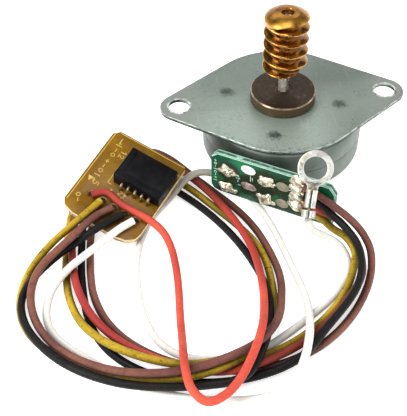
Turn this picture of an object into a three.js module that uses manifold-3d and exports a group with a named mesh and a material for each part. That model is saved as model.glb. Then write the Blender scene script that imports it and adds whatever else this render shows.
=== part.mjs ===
// Permanent-magnet stepper motor with a brass worm on its shaft, its soldered
// terminal board, and the five flying leads that run to a small lead board.
// Units are millimetres, +Z is up along the shaft, the origin is the centre of
// the rear face, and +X runs along the two mounting ears.
import * as THREE from 'three';
import { mergeVertices } from 'three/addons/utils/BufferGeometryUtils.js';
import Module from 'manifold-3d';

const wasm = await Module();
wasm.setup();

// ---------------------------------------------------------------- dimensions
// mounting flange
const FLANGE_TOP = 13.7;          // height of the front (mounting) face
const FLANGE_T = 0.8;
const FLANGE_R = 16.25;           // round middle of the plate
const EAR_SPACING = 42.0;         // between the two ear holes
const EAR_R = 3.85;
const EAR_HOLE_R = 2.1;
// can (two drawn cups)
const CAN_R = 16.25;
const CAN_WALL = 0.8;
const CAN_BOTTOM = 2.78;
const CAN_MID = 7.85;
const BORE_R = 7.2;               // inside the claw poles
const CLAW_T = 0.7;
const CLAWS = 12;
// terminal board plane: distance from the shaft axis and its bearing
const TB_PERP = 18.45;
const TB_ANGLE = -31.54;          // direction of the board's long side, degrees
const TB_T = 1.2;
const TB_S0 = -7.3, TB_S1 = 18.3; // ends along the long side
const TB_Z0 = 1.64, TB_Z1 = 11.68;
const PIN_S = 4.1;                // terminal pins either side of the middle
const PIN_Z_FRONT = 7.95, PIN_Z_REAR = 3.3;
const PIN_R = 0.3;
// shaft, bearings, worm
const SHAFT_R = 1.0;
const BOSS_R = 6.54, BOSS_H = 2.34;
const WORM_R = 4.36, WORM_ROOT = 3.15;
const WORM_Z0 = 21.52, WORM_Z1 = 33.45, WORM_TOP = 34.08;
const WORM_PITCH = 2.54;          // left-handed thread
const WORM_PHASE = 31.41;         // crest height on the -Y side
const CROWN_Z = 32.6;             // height where the crown starts to taper in
// rotor
const MAGNET_R = 6.9, MAGNET_RI = 5.2;
// leads
const LEAD_D = 1.45;
const LEAD_STEPS = 77;
// ring terminal
const LUG_RING_R = 3.3, LUG_HOLE_R = 2.15, LUG_T = 0.5;
// lead board and its side-entry header
const LB_T = 1.6;
const HEADER_H = 3.4;

const LEAD_BOARD_AT = [-33.307, -14.496, 7.030];
const LEAD_BOARD_X = [0.8077, -0.5397, -0.2373];
const LEAD_BOARD_Y = [0.5841, 0.7872, 0.1979];
const LEAD_BOARD_Z = [0.0800, -0.2985, 0.9511];
const LUG_NECK_AT = [1.493, -24.796, 13.041];
const LUG_X = [0.9554, -0.2937, -0.0327];
const LUG_Y = [0.2360, 0.6916, 0.6827];
const LUG_Z = [-0.1778, -0.6599, 0.7300];

// Routes of the five leads, from the terminal board (or the ring terminal) to
// the lead board, as points on each lead's centre line.
const LEAD_ROUTES = {
  lead_orange: [
    [0.61, -23.06, 6.60], [3.40, -24.76, 5.86], [6.37, -26.27, 4.96], [8.38, -28.31, 3.30], [9.52, -31.25, 2.36],
    [9.61, -34.50, 2.07], [8.87, -37.67, 2.29], [7.34, -40.59, 2.60], [5.14, -43.10, 2.44], [2.84, -45.51, 2.10],
    [0.34, -47.72, 1.82], [-2.35, -49.74, 1.72], [-5.16, -51.56, 1.86], [-8.07, -53.14, 2.18], [-11.18, -54.38, 2.42],
    [-14.44, -55.22, 2.46], [-17.73, -55.57, 2.19], [-21.02, -55.16, 1.95], [-24.22, -54.18, 2.12], [-27.33, -52.92, 2.13],
    [-30.31, -51.36, 2.06], [-33.08, -49.51, 1.97], [-35.66, -47.36, 1.95], [-37.98, -44.93, 2.07], [-39.96, -42.20, 2.33],
    [-41.47, -39.22, 2.49], [-42.54, -36.07, 2.34], [-43.27, -32.81, 2.02], [-43.69, -29.50, 1.80], [-43.83, -26.16, 1.93],
    [-43.75, -22.82, 2.02], [-43.37, -19.51, 2.17], [-42.73, -16.26, 2.45], [-41.81, -13.10, 2.89], [-40.59, -10.05, 3.51],
    [-38.79, -7.28, 3.84], [-36.12, -5.31, 3.91], [-32.95, -4.29, 3.69], [-29.68, -3.81, 3.17], [-26.39, -4.14, 2.63],
    [-23.29, -5.39, 2.18], [-20.69, -7.46, 1.91], [-18.62, -10.08, 1.88], [-16.84, -12.91, 2.01], [-15.35, -15.87, 2.32],
    [-13.90, -18.87, 2.47], [-12.52, -21.92, 2.43], [-11.31, -25.05, 2.35], [-10.41, -28.30, 2.38], [-9.88, -31.61, 2.59],
    [-9.65, -34.94, 2.94], [-9.67, -38.27, 3.39], [-9.90, -41.56, 4.02], [-10.33, -44.76, 4.90], [-10.92, -47.87, 5.97],
    [-11.72, -50.95, 6.98], [-12.96, -54.07, 7.14], [-14.57, -57.01, 6.68], [-16.51, -59.75, 6.08], [-19.03, -61.99, 5.56],
    [-22.15, -62.90, 5.30], [-24.37, -60.63, 5.86], [-25.05, -57.37, 6.40], [-25.10, -54.06, 5.97], [-25.02, -50.99, 4.69],
    [-24.97, -47.96, 3.34], [-24.91, -44.80, 2.33], [-24.80, -41.49, 1.76], [-24.66, -38.12, 1.59], [-24.61, -34.77, 1.66],
    [-24.75, -31.44, 2.11], [-25.21, -28.17, 2.93], [-26.32, -25.17, 3.95], [-28.46, -22.79, 4.94], [-31.29, -20.93, 5.76],
    [-34.12, -18.98, 6.61], [-36.63, -16.65, 7.55], [-39.43, -17.04, 7.78],
  ],
  lead_yellow: [
    [0.57, -22.92, 4.32], [3.44, -24.76, 4.06], [5.47, -27.50, 3.70], [7.58, -30.29, 3.77], [8.42, -33.55, 3.37],
    [7.44, -36.74, 2.77], [5.96, -39.73, 1.97], [4.02, -42.42, 1.33], [1.69, -44.84, 0.97], [-0.93, -47.01, 0.79],
    [-3.72, -48.96, 0.79], [-6.68, -50.66, 0.89], [-9.78, -52.08, 1.10], [-13.00, -53.16, 1.42], [-16.28, -53.70, 2.12],
    [-19.49, -54.13, 3.27], [-22.84, -54.73, 3.79], [-26.21, -54.28, 3.71], [-29.41, -53.10, 3.43], [-32.46, -51.56, 3.10],
    [-35.33, -49.76, 2.77], [-38.06, -47.69, 2.58], [-40.45, -45.25, 2.29], [-42.27, -42.45, 1.76], [-43.56, -39.34, 1.23],
    [-44.44, -36.02, 0.96], [-44.90, -32.61, 0.83], [-45.06, -29.20, 0.79], [-45.04, -25.80, 0.79], [-44.85, -22.39, 0.79],
    [-44.60, -18.98, 0.79], [-44.13, -15.60, 0.79], [-43.28, -12.29, 0.79], [-41.95, -9.14, 0.79], [-40.02, -6.28, 0.79],
    [-37.39, -4.06, 0.79], [-34.19, -3.02, 0.79], [-30.85, -3.44, 0.79], [-27.68, -4.67, 0.79], [-24.73, -6.44, 0.79],
    [-22.11, -8.66, 0.79], [-19.79, -11.20, 0.79], [-17.72, -13.91, 0.79], [-15.71, -16.66, 0.79], [-13.64, -19.41, 0.79],
    [-11.69, -22.21, 0.79], [-10.00, -25.16, 0.87], [-8.71, -28.29, 1.07], [-7.94, -31.61, 1.20], [-7.63, -35.02, 1.04],
    [-7.58, -38.48, 0.79], [-7.96, -41.89, 0.79], [-8.94, -45.15, 0.97], [-10.43, -48.15, 1.51], [-12.24, -50.90, 2.48],
    [-14.40, -53.36, 3.46], [-17.26, -55.18, 3.92], [-20.51, -56.17, 3.61], [-23.86, -56.44, 3.00], [-27.26, -56.39, 2.58],
    [-30.65, -56.10, 2.49], [-34.02, -55.45, 2.44], [-37.26, -54.30, 2.12], [-40.22, -52.69, 1.54], [-43.06, -50.89, 1.02],
    [-45.87, -48.95, 0.79], [-48.47, -46.75, 0.79], [-50.71, -44.20, 0.79], [-52.37, -41.23, 0.79], [-53.21, -37.91, 0.81],
    [-53.14, -34.51, 1.07], [-52.17, -31.34, 1.73], [-50.48, -28.57, 2.67], [-48.21, -26.29, 3.83], [-45.59, -24.44, 5.06],
    [-42.87, -22.71, 6.18], [-40.28, -20.54, 6.64], [-37.71, -18.40, 7.26],
  ],
  lead_brown: [
    [0.34, -22.78, 10.77], [3.01, -24.82, 9.95], [5.62, -26.62, 8.60], [8.14, -28.32, 6.97], [10.21, -30.36, 5.18],
    [11.31, -33.10, 3.48], [11.03, -36.16, 2.04], [9.85, -39.21, 1.18], [8.13, -42.13, 0.85], [6.12, -44.89, 0.79],
    [3.80, -47.44, 0.79], [1.19, -49.70, 0.79], [-1.69, -51.61, 0.79], [-4.81, -53.09, 0.79], [-8.10, -54.21, 0.79],
    [-11.54, -54.81, 0.79], [-15.07, -54.89, 0.79], [-18.54, -54.46, 0.79], [-21.92, -53.70, 0.79], [-25.22, -52.69, 0.79],
    [-28.34, -51.22, 0.79], [-31.26, -49.36, 0.79], [-33.91, -47.15, 0.79], [-36.21, -44.57, 0.79], [-38.05, -41.64, 0.79],
    [-39.36, -38.45, 0.79], [-40.18, -35.09, 0.79], [-40.49, -31.66, 0.79], [-40.57, -28.19, 0.80], [-40.51, -24.72, 0.86],
    [-40.34, -21.27, 0.79], [-39.95, -17.84, 0.79], [-39.43, -14.41, 0.79], [-38.66, -10.99, 0.79], [-37.51, -7.68, 0.79],
    [-35.57, -5.01, 1.82], [-32.99, -2.83, 2.65], [-30.02, -1.04, 2.75], [-26.67, -0.68, 2.42], [-23.74, -2.18, 1.69],
    [-21.35, -4.56, 1.09], [-19.20, -7.25, 0.79], [-17.10, -10.00, 0.79], [-15.04, -12.80, 0.79], [-12.94, -15.60, 0.79],
    [-11.01, -18.48, 0.79], [-9.36, -21.51, 0.79], [-8.07, -24.70, 0.80], [-7.07, -28.03, 0.79], [-6.32, -31.43, 0.79],
    [-5.91, -34.90, 1.05], [-6.07, -38.35, 1.60], [-6.66, -41.68, 2.35], [-7.41, -44.90, 3.32], [-8.56, -47.96, 4.39],
    [-10.43, -50.73, 5.19], [-13.06, -52.93, 5.45], [-16.14, -54.53, 5.64], [-19.43, -55.54, 5.43], [-22.84, -56.02, 4.86],
    [-26.27, -56.11, 4.36], [-29.70, -56.00, 4.20], [-33.12, -55.55, 4.17], [-36.44, -54.59, 3.94], [-39.49, -53.06, 3.39],
    [-42.36, -51.18, 2.84], [-45.01, -49.00, 2.45], [-47.36, -46.47, 2.26], [-49.25, -43.57, 2.31], [-50.52, -40.38, 2.59],
    [-50.99, -36.99, 3.13], [-50.42, -33.68, 3.80], [-48.82, -30.73, 4.40], [-46.42, -28.34, 5.04], [-43.81, -26.18, 5.74],
    [-41.28, -23.82, 6.26], [-38.76, -21.40, 6.41], [-35.66, -19.83, 6.59],
  ],
  lead_black: [
    [0.48, -22.89, 8.62], [3.19, -24.85, 7.97], [5.43, -27.06, 6.65], [7.44, -29.71, 5.72], [8.70, -32.80, 5.12],
    [8.83, -36.12, 4.68], [8.07, -39.35, 4.42], [6.56, -42.36, 4.16], [4.42, -45.00, 3.77], [2.01, -47.38, 3.40],
    [-0.44, -49.72, 3.00], [-2.81, -52.13, 2.59], [-5.43, -54.27, 2.26], [-8.51, -55.65, 1.91], [-11.84, -56.40, 1.49],
    [-15.22, -56.76, 1.12], [-18.60, -56.80, 0.88], [-21.98, -56.54, 0.79], [-25.33, -55.93, 0.79], [-28.58, -54.89, 0.79],
    [-31.65, -53.43, 0.79], [-34.47, -51.52, 0.79], [-36.95, -49.18, 0.79], [-38.97, -46.39, 0.79], [-40.39, -43.28, 0.79],
    [-41.30, -39.99, 0.79], [-41.79, -36.62, 0.79], [-42.09, -33.24, 0.79], [-42.25, -29.88, 0.79], [-42.23, -26.50, 0.79],
    [-42.12, -23.09, 0.79], [-41.94, -19.68, 0.82], [-41.64, -16.29, 0.95], [-40.97, -12.96, 1.43], [-39.60, -9.91, 2.08],
    [-37.18, -7.58, 2.69], [-34.01, -6.27, 2.75], [-30.63, -6.22, 2.24], [-27.56, -7.49, 1.53], [-24.81, -9.45, 1.01],
    [-22.33, -11.75, 0.81], [-20.05, -14.26, 0.79], [-17.95, -16.92, 0.79], [-16.00, -19.72, 0.79], [-14.20, -22.66, 0.79],
    [-12.62, -25.68, 0.79], [-11.27, -28.78, 0.83], [-10.16, -31.99, 0.96], [-9.35, -35.29, 1.28], [-8.91, -38.62, 1.85],
    [-8.80, -42.02, 2.30], [-9.17, -45.42, 2.73], [-10.02, -48.70, 3.23], [-11.24, -51.83, 3.65], [-12.73, -54.82, 4.14],
    [-14.81, -57.42, 3.74], [-18.02, -58.46, 3.37], [-21.44, -58.52, 3.16], [-24.86, -58.34, 3.02], [-28.31, -58.05, 3.01],
    [-31.69, -57.58, 3.09], [-34.99, -56.79, 3.13], [-38.17, -55.55, 3.02], [-41.20, -53.98, 2.88], [-44.00, -52.08, 2.71],
    [-46.57, -49.85, 2.56], [-48.83, -47.31, 2.42], [-50.78, -44.49, 2.44], [-52.19, -41.38, 2.46], [-52.74, -38.06, 2.43],
    [-52.16, -34.75, 2.44], [-50.54, -31.79, 2.48], [-48.26, -29.32, 2.79], [-45.60, -27.28, 3.40], [-42.68, -25.73, 4.20],
    [-39.72, -24.47, 5.36], [-36.81, -22.69, 5.67], [-33.75, -21.24, 5.97],
  ],
  lead_white: [
    [-0.26, -30.12, 9.52], [1.01, -30.33, 6.73], [3.44, -30.50, 4.98], [5.85, -31.64, 3.51], [7.00, -34.00, 2.07],
    [6.44, -36.83, 1.16], [4.70, -39.31, 0.79], [2.59, -41.55, 0.79], [0.21, -43.52, 0.79], [-2.27, -45.36, 0.79],
    [-4.78, -47.15, 0.79], [-7.35, -48.85, 0.79], [-10.02, -50.38, 0.79], [-12.88, -51.47, 0.79], [-15.88, -52.09, 0.79],
    [-18.95, -52.28, 0.79], [-22.03, -51.92, 0.79], [-25.00, -50.95, 0.79], [-27.53, -49.20, 0.79], [-29.39, -46.79, 0.79],
    [-30.62, -43.98, 0.79], [-31.40, -40.96, 0.79], [-31.83, -37.89, 0.79], [-32.03, -34.81, 0.79], [-32.04, -31.73, 0.79],
    [-31.83, -28.64, 0.79], [-31.33, -25.58, 0.79], [-30.47, -22.65, 0.79], [-29.27, -19.86, 0.92], [-27.62, -17.31, 1.21],
    [-25.55, -15.10, 1.69], [-23.45, -12.98, 2.36], [-21.39, -10.89, 3.20], [-18.80, -9.34, 3.62], [-15.91, -8.69, 2.88],
    [-13.13, -9.40, 1.84], [-10.78, -11.24, 1.19], [-8.97, -13.67, 0.88], [-7.57, -16.38, 0.79], [-6.44, -19.25, 0.79],
    [-5.53, -22.21, 0.79], [-4.79, -25.19, 0.79], [-4.19, -28.18, 0.79], [-3.63, -31.21, 0.79], [-3.09, -34.24, 0.82],
    [-2.58, -37.29, 1.00], [-2.26, -40.34, 1.37], [-2.24, -43.34, 1.99], [-2.52, -46.28, 2.77], [-3.04, -49.20, 3.55],
    [-3.82, -52.12, 4.19], [-4.89, -55.00, 3.92], [-6.37, -57.57, 3.07], [-8.53, -59.58, 2.15], [-11.34, -60.58, 1.49],
    [-14.39, -60.73, 1.09], [-17.45, -60.49, 0.87], [-20.49, -60.09, 0.79], [-23.50, -59.51, 0.79], [-26.46, -58.70, 0.79],
    [-29.32, -57.64, 0.79], [-32.08, -56.30, 0.79], [-34.66, -54.66, 0.79], [-37.22, -52.96, 0.79], [-39.65, -51.08, 0.79],
    [-42.03, -49.11, 0.79], [-44.36, -47.09, 0.79], [-46.45, -44.82, 0.80], [-47.94, -42.13, 1.04], [-48.38, -39.14, 1.44],
    [-47.78, -36.19, 2.02], [-46.31, -33.57, 2.76], [-44.24, -31.38, 3.47], [-41.87, -29.45, 3.88], [-39.45, -27.62, 4.24],
    [-37.00, -25.82, 4.71], [-34.51, -24.04, 5.06], [-31.84, -22.59, 5.38],
  ],
};

// ---------------------------------------------------------------- helpers
function toSolid(geometry) {
  const g = geometry.index ? geometry.toNonIndexed() : geometry.clone();
  for (const name of Object.keys(g.attributes)) if (name !== 'position') g.deleteAttribute(name);
  const m = mergeVertices(g, 1e-4);
  const p = m.attributes.position.array;
  const idx = m.index.array;
  const tris = [];
  for (let i = 0; i < idx.length; i += 3) {
    const a = idx[i], b = idx[i + 1], c = idx[i + 2];
    if (a !== b && b !== c && a !== c) tris.push(a, b, c);
  }
  let vol = 0;
  for (let i = 0; i < tris.length; i += 3) {
    const [a, b, c] = [tris[i] * 3, tris[i + 1] * 3, tris[i + 2] * 3];
    vol += p[a] * (p[b + 1] * p[c + 2] - p[b + 2] * p[c + 1])
         - p[a + 1] * (p[b] * p[c + 2] - p[b + 2] * p[c])
         + p[a + 2] * (p[b] * p[c + 1] - p[b + 1] * p[c]);
  }
  if (vol < 0) for (let i = 0; i < tris.length; i += 3) [tris[i + 1], tris[i + 2]] = [tris[i + 2], tris[i + 1]];
  return new wasm.Manifold(new wasm.Mesh({
    numProp: 3, vertProperties: new Float32Array(p), triVerts: new Uint32Array(tris),
  }));
}

function toGeometry(solid) {
  const mesh = solid.getMesh();
  const g = new THREE.BufferGeometry();
  const n = mesh.vertProperties.length / mesh.numProp;
  const pos = new Float32Array(n * 3);
  for (let i = 0; i < n; i++) for (let k = 0; k < 3; k++) pos[3 * i + k] = mesh.vertProperties[mesh.numProp * i + k];
  g.setAttribute('position', new THREE.BufferAttribute(pos, 3));
  g.setIndex(new THREE.BufferAttribute(new Uint32Array(mesh.triVerts), 1));
  g.computeVertexNormals();
  return g;
}

const finish = (color, roughness, metalness) => new THREE.MeshStandardMaterial({ color, roughness, metalness });
const part = (name, solid, material) => {
  const mesh = new THREE.Mesh(toGeometry(solid), material);
  mesh.name = name;
  return mesh;
};

// a body of revolution about Z from [radius, height] points
function turned(points, segments = 36) {
  const pts = points.map(([r, z]) => new THREE.Vector2(r, z));
  const g = new THREE.LatheGeometry(pts, segments);
  g.rotateX(Math.PI / 2);
  return toSolid(g);
}
const ringProfile = (ri, ro, z0, z1) => [[ri, z0], [ro, z0], [ro, z1], [ri, z1], [ri, z0]];

// a prism along Z from [x, y] points
function prism(points, z0, z1, holes = []) {
  const shape = new THREE.Shape(points.map(([x, y]) => new THREE.Vector2(x, y)));
  for (const h of holes) shape.holes.push(new THREE.Path(h.map(([x, y]) => new THREE.Vector2(x, y))));
  const g = new THREE.ExtrudeGeometry(shape, { depth: z1 - z0, bevelEnabled: false, curveSegments: 8 });
  g.translate(0, 0, z0);
  return toSolid(g);
}
const circle = (cx, cy, r, n) => Array.from({ length: n }, (_, i) => {
  const t = (2 * Math.PI * i) / n;
  return [cx + r * Math.cos(t), cy + r * Math.sin(t)];
});
function box(x0, x1, y0, y1, z0, z1) {
  const g = new THREE.BoxGeometry(x1 - x0, y1 - y0, z1 - z0);
  g.translate((x0 + x1) / 2, (y0 + y1) / 2, (z0 + z1) / 2);
  return toSolid(g);
}
function moved(solid, matrix) {
  const g = toGeometry(solid);
  g.applyMatrix4(matrix);
  return toSolid(g);
}
const frameOf = (x, y, z, at = [0, 0, 0]) => {
  const m = new THREE.Matrix4();
  m.makeBasis(new THREE.Vector3(...x), new THREE.Vector3(...y), new THREE.Vector3(...z));
  m.setPosition(...at);
  return m;
};
function placed(matrix, meshes) {
  const g = new THREE.Group();
  matrix.decompose(g.position, g.quaternion, g.scale);
  g.scale.set(1, 1, 1);
  for (const m of meshes) g.add(m);
  return g;
}

// ---------------------------------------------------------------- materials
const zincSteel = () => finish(0xa3b0a8, 0.45, 0.75);
const canSteel = () => finish(0x8e908c, 0.38, 0.8);
const poleSteel = () => finish(0x9a9a98, 0.4, 0.8);
const sintered = () => finish(0x4a3930, 0.5, 0.6);
const brass = () => finish(0xc08a35, 0.25, 0.95);
const bobbinPlastic = () => finish(0x26262a, 0.6, 0);
const copper = () => finish(0xa6532b, 0.35, 0.6);
const tin = () => finish(0xcfd0c4, 0.35, 0.85);
const steelBright = () => finish(0xb9b6b0, 0.25, 0.9);
const leadColours = {
  lead_orange: 0xe05a44, lead_yellow: 0xc9a62a, lead_brown: 0x7a4b42, lead_black: 0x1a1916, lead_white: 0xefeee4,
};

const motor = new THREE.Group();

// ---------------------------------------------------------------- terminal board frame
const tbA = THREE.MathUtils.degToRad(TB_ANGLE);
const TB_ALONG = [Math.cos(tbA), Math.sin(tbA), 0];
const TB_OUT = [Math.sin(tbA), -Math.cos(tbA), 0];
// local x along the board, local y up, local z outwards from the shaft
const tbFrame = frameOf(TB_ALONG, [0, 0, 1], TB_OUT);

// ---------------------------------------------------------------- front flange
function flangeOutline() {
  const s = EAR_SPACING / 2;
  const a = Math.acos((FLANGE_R - EAR_R) / s);
  const pts = [];
  const arc = (cx, r, t0, t1, n) => {
    for (let i = 0; i <= n; i++) {
      const t = t0 + ((t1 - t0) * i) / n;
      pts.push([cx + r * Math.cos(t), r * Math.sin(t)]);
    }
  };
  arc(s, EAR_R, -a, a, 10);
  arc(0, FLANGE_R, a, Math.PI - a, 16);
  arc(-s, EAR_R, Math.PI - a, Math.PI + a, 10);
  arc(0, FLANGE_R, Math.PI + a, 2 * Math.PI - a, 16);
  return pts;
}
const SPIGOT_R = 4.9;
const flangeZ0 = FLANGE_TOP - FLANGE_T;
motor.add(part('front_flange', prism(flangeOutline(), flangeZ0, FLANGE_TOP, [
  circle(EAR_SPACING / 2, 0, EAR_HOLE_R, 20),
  circle(-EAR_SPACING / 2, 0, EAR_HOLE_R, 20),
  circle(0, 0, SPIGOT_R + 0.12, 28),
]), zincSteel()));

// ---------------------------------------------------------------- claw-pole parts
// trapezoid fingers standing on a pole plate, between radii BORE_R and BORE_R + CLAW_T
function claws(zRoot, zTip, offsetDeg) {
  let all = null;
  const hw0 = THREE.MathUtils.degToRad(10.5), hw1 = THREE.MathUtils.degToRad(4.5);
  for (let k = 0; k < CLAWS; k++) {
    const c = THREE.MathUtils.degToRad(offsetDeg + (360 / CLAWS) * k);
    const p = [];
    for (const [z, hw] of [[zRoot, hw0], [zTip, hw1]]) {
      for (const [r, sgn] of [[BORE_R, -1], [BORE_R + CLAW_T, -1], [BORE_R + CLAW_T, 1], [BORE_R, 1]]) {
        p.push(r * Math.cos(c + sgn * hw), r * Math.sin(c + sgn * hw), z);
      }
    }
    const f = [0, 1, 2, 0, 2, 3, 4, 6, 5, 4, 7, 6];
    for (let i = 0; i < 4; i++) {
      const j = (i + 1) % 4;
      f.push(i, 4 + i, 4 + j, i, 4 + j, j);
    }
    const g = new THREE.BufferGeometry();
    g.setAttribute('position', new THREE.BufferAttribute(new Float32Array(p), 3));
    g.setIndex(f);
    const s = toSolid(g);
    all = all ? all.add(s) : s;
  }
  return all;
}
// window in the can for the bobbins' terminal blocks
const windowCut = (z0, z1, half = 5.75, from = 14.3) => moved(
  box(-half, half, z0, z1, from, 18.0), tbFrame);

const cupTopOuter = flangeZ0 - 0.05;
const frontCup = turned([
  [BORE_R, cupTopOuter - 0.75], [CAN_R - CAN_WALL, cupTopOuter - 0.75], [CAN_R - CAN_WALL, CAN_MID + 0.05],
  [CAN_R, CAN_MID + 0.05], [CAN_R, cupTopOuter - 0.5], [CAN_R - 0.5, cupTopOuter], [BORE_R, cupTopOuter],
  [BORE_R, cupTopOuter - 0.75],
], 36)
  .add(claws(cupTopOuter - 0.7, 9.0, 0))
  .subtract(windowCut(CAN_MID - 1, 9.35));
motor.add(part('front_cup', frontCup, canSteel()));

const rearCup = turned([
  [BORE_R, CAN_BOTTOM], [CAN_R - 0.7, CAN_BOTTOM], [CAN_R - 0.2, CAN_BOTTOM + 0.22], [CAN_R, CAN_BOTTOM + 0.75],
  [CAN_R, CAN_MID], [CAN_R - CAN_WALL, CAN_MID], [CAN_R - CAN_WALL, CAN_BOTTOM + 0.75], [BORE_R, CAN_BOTTOM + 0.75],
  [BORE_R, CAN_BOTTOM],
], 36)
  .add(claws(CAN_BOTTOM + 0.7, 6.9, 7.5))
  .subtract(windowCut(CAN_BOTTOM - 1, CAN_MID + 1));
motor.add(part('rear_cup', rearCup, canSteel()));

const POLE_RO = 15.3;
const frontPole = turned(ringProfile(BORE_R, POLE_RO, CAN_MID + 0.08, CAN_MID + 0.78), 36)
  .add(claws(CAN_MID + 0.7, 11.8, 15))
  .subtract(windowCut(CAN_MID - 0.5, CAN_MID + 1.2, 5.75, 14.0));
motor.add(part('front_inner_pole', frontPole, poleSteel()));
const rearPole = turned(ringProfile(BORE_R, POLE_RO, CAN_MID - 0.78, CAN_MID - 0.08), 36)
  .add(claws(CAN_MID - 0.7, 3.85, 22.5))
  .subtract(windowCut(CAN_MID - 1.2, CAN_MID + 0.5, 5.75, 14.0));
motor.add(part('rear_inner_pole', rearPole, poleSteel()));

// ---------------------------------------------------------------- bobbins, coils, terminal pins
const BOB_RI = 8.1, BOB_RW = 8.7, BOB_RO = 15.0;
function bobbin(z0, z1, pinZ, blockZ0, blockZ1) {
  const spool = turned([
    [BOB_RI, z0], [BOB_RO, z0], [BOB_RO, z0 + 0.4], [BOB_RW, z0 + 0.4], [BOB_RW, z1 - 0.4], [BOB_RO, z1 - 0.4],
    [BOB_RO, z1], [BOB_RI, z1], [BOB_RI, z0],
  ], 32);
  // terminal block: reaches from the lower cheek out through the can's window
  const block = box(-5.4, 5.4, blockZ0, blockZ1, 14.55, 17.0);
  const tongue = box(-5.4, 5.4, Math.min(z0 + 0.02, blockZ0 + 0.1), z0 + 0.4, 14.3, 14.9);
  let b = block.add(tongue);
  for (const s of [-PIN_S, PIN_S]) {
    const hole = prism(circle(s, pinZ, PIN_R + 0.08, 8), 15.4, 18);
    b = b.subtract(hole);
  }
  return spool.add(moved(b, tbFrame));
}
motor.add(part('front_bobbin', bobbin(CAN_MID + 0.88, cupTopOuter - 0.85, PIN_Z_FRONT, 7.1, 9.25), bobbinPlastic()));
motor.add(part('rear_bobbin', bobbin(CAN_BOTTOM + 0.85, CAN_MID - 0.88, PIN_Z_REAR, CAN_BOTTOM + 0.02, 4.4), bobbinPlastic()));
motor.add(part('front_coil', turned(ringProfile(BOB_RW + 0.05, 14.2, CAN_MID + 1.33, cupTopOuter - 1.3), 32), copper()));
motor.add(part('rear_coil', turned(ringProfile(BOB_RW + 0.05, 14.2, CAN_BOTTOM + 1.3, CAN_MID - 1.33), 32), copper()));

const pinMeshes = [];
[[-PIN_S, PIN_Z_FRONT], [PIN_S, PIN_Z_FRONT], [-PIN_S, PIN_Z_REAR], [PIN_S, PIN_Z_REAR]].forEach(([s, z], i) => {
  pinMeshes.push(part(`terminal_pin_${i + 1}`, prism(circle(s, z, PIN_R, 8), 15.45, TB_PERP + 0.85), tin()));
});
motor.add(placed(tbFrame, pinMeshes));

// ---------------------------------------------------------------- terminal board
const tbOutline = [
  [TB_S0 + 1.9, TB_Z0], [TB_S1 - 0.5, TB_Z0], [TB_S1, TB_Z0 + 0.5], [TB_S1, TB_Z1 - 1.7], [TB_S1 - 1.3, TB_Z1],
  [TB_S0 + 1.2, TB_Z1], [TB_S0, TB_Z1 - 1.3], [TB_S0, TB_Z0 + 1.4], [TB_S0 + 0.6, TB_Z0 + 0.4],
];
const pinHoles = [[-PIN_S, PIN_Z_FRONT], [PIN_S, PIN_Z_FRONT], [-PIN_S, PIN_Z_REAR], [PIN_S, PIN_Z_REAR]]
  .map(([s, z]) => circle(s, z, PIN_R + 0.14, 10));
motor.add(placed(tbFrame, [
  part('terminal_board', prism(tbOutline, TB_PERP - TB_T, TB_PERP, pinHoles), finish(0x1f6e46, 0.35, 0.05)),
]));

// ---------------------------------------------------------------- rear cover and bearings
motor.add(part('rear_cover', turned([
  [0, 0], [8.2, 0], [8.75, 0.25], [9.0, 0.8], [9.0, 1.95], [11.6, 1.95], [11.6, CAN_BOTTOM - 0.05],
  [8.3, CAN_BOTTOM - 0.05], [8.3, 0.7], [0, 0.7],
], 32), canSteel()));
const boreR = (r) => (r + 0.05) / Math.cos(Math.PI / 24);
motor.add(part('rear_bearing', turned([
  [boreR(SHAFT_R), 0.78], [8.2, 0.78], [8.2, 1.6], [4.4, 1.6], [4.4, 3.15], [boreR(SHAFT_R), 3.15], [boreR(SHAFT_R), 0.78],
], 24), sintered()));
motor.add(part('front_bearing', turned([
  [boreR(SHAFT_R), 10.95], [SPIGOT_R, 10.95], [SPIGOT_R, FLANGE_TOP + 0.04], [BOSS_R, FLANGE_TOP + 0.04],
  [BOSS_R, FLANGE_TOP + BOSS_H - 0.25], [BOSS_R - 0.25, FLANGE_TOP + BOSS_H], [boreR(SHAFT_R), FLANGE_TOP + BOSS_H],
  [boreR(SHAFT_R), 10.95],
], 24), sintered()));

// ---------------------------------------------------------------- rotor
motor.add(part('shaft', turned([
  [0, 0.85], [SHAFT_R - 0.15, 0.85], [SHAFT_R, 1.05], [SHAFT_R, 32.85], [SHAFT_R - 0.15, 33.0], [0, 33.0],
], 24), steelBright()));
motor.add(part('rotor_hub', turned([
  [boreR(SHAFT_R), 4.4], [2.4, 4.4], [2.4, 4.9], [MAGNET_RI - 0.08, 4.9], [MAGNET_RI - 0.08, 9.9], [2.4, 9.9], [2.4, 10.3],
  [boreR(SHAFT_R), 10.3], [boreR(SHAFT_R), 4.4],
], 24), finish(0xd8d4c4, 0.6, 0)));
motor.add(part('rotor_magnet', turned(ringProfile(MAGNET_RI, MAGNET_R, 3.7, 11.8), 32), finish(0x3a3a3c, 0.7, 0.1)));
motor.add(part('front_thrust_washer', turned(ringProfile(boreR(SHAFT_R) + 0.05, 2.5, 10.45, 10.8), 24), finish(0xe6e2d2, 0.6, 0)));
motor.add(part('preload_washer', turned([
  [boreR(SHAFT_R) + 0.05, 3.98], [2.7, 3.7], [2.75, 3.86], [boreR(SHAFT_R) + 0.08, 4.2], [boreR(SHAFT_R) + 0.05, 3.98],
], 24), steelBright()));
motor.add(part('rear_thrust_washer', turned(ringProfile(boreR(SHAFT_R) + 0.05, 2.5, 3.25, 3.5), 24), finish(0xe6e2d2, 0.6, 0)));

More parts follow.
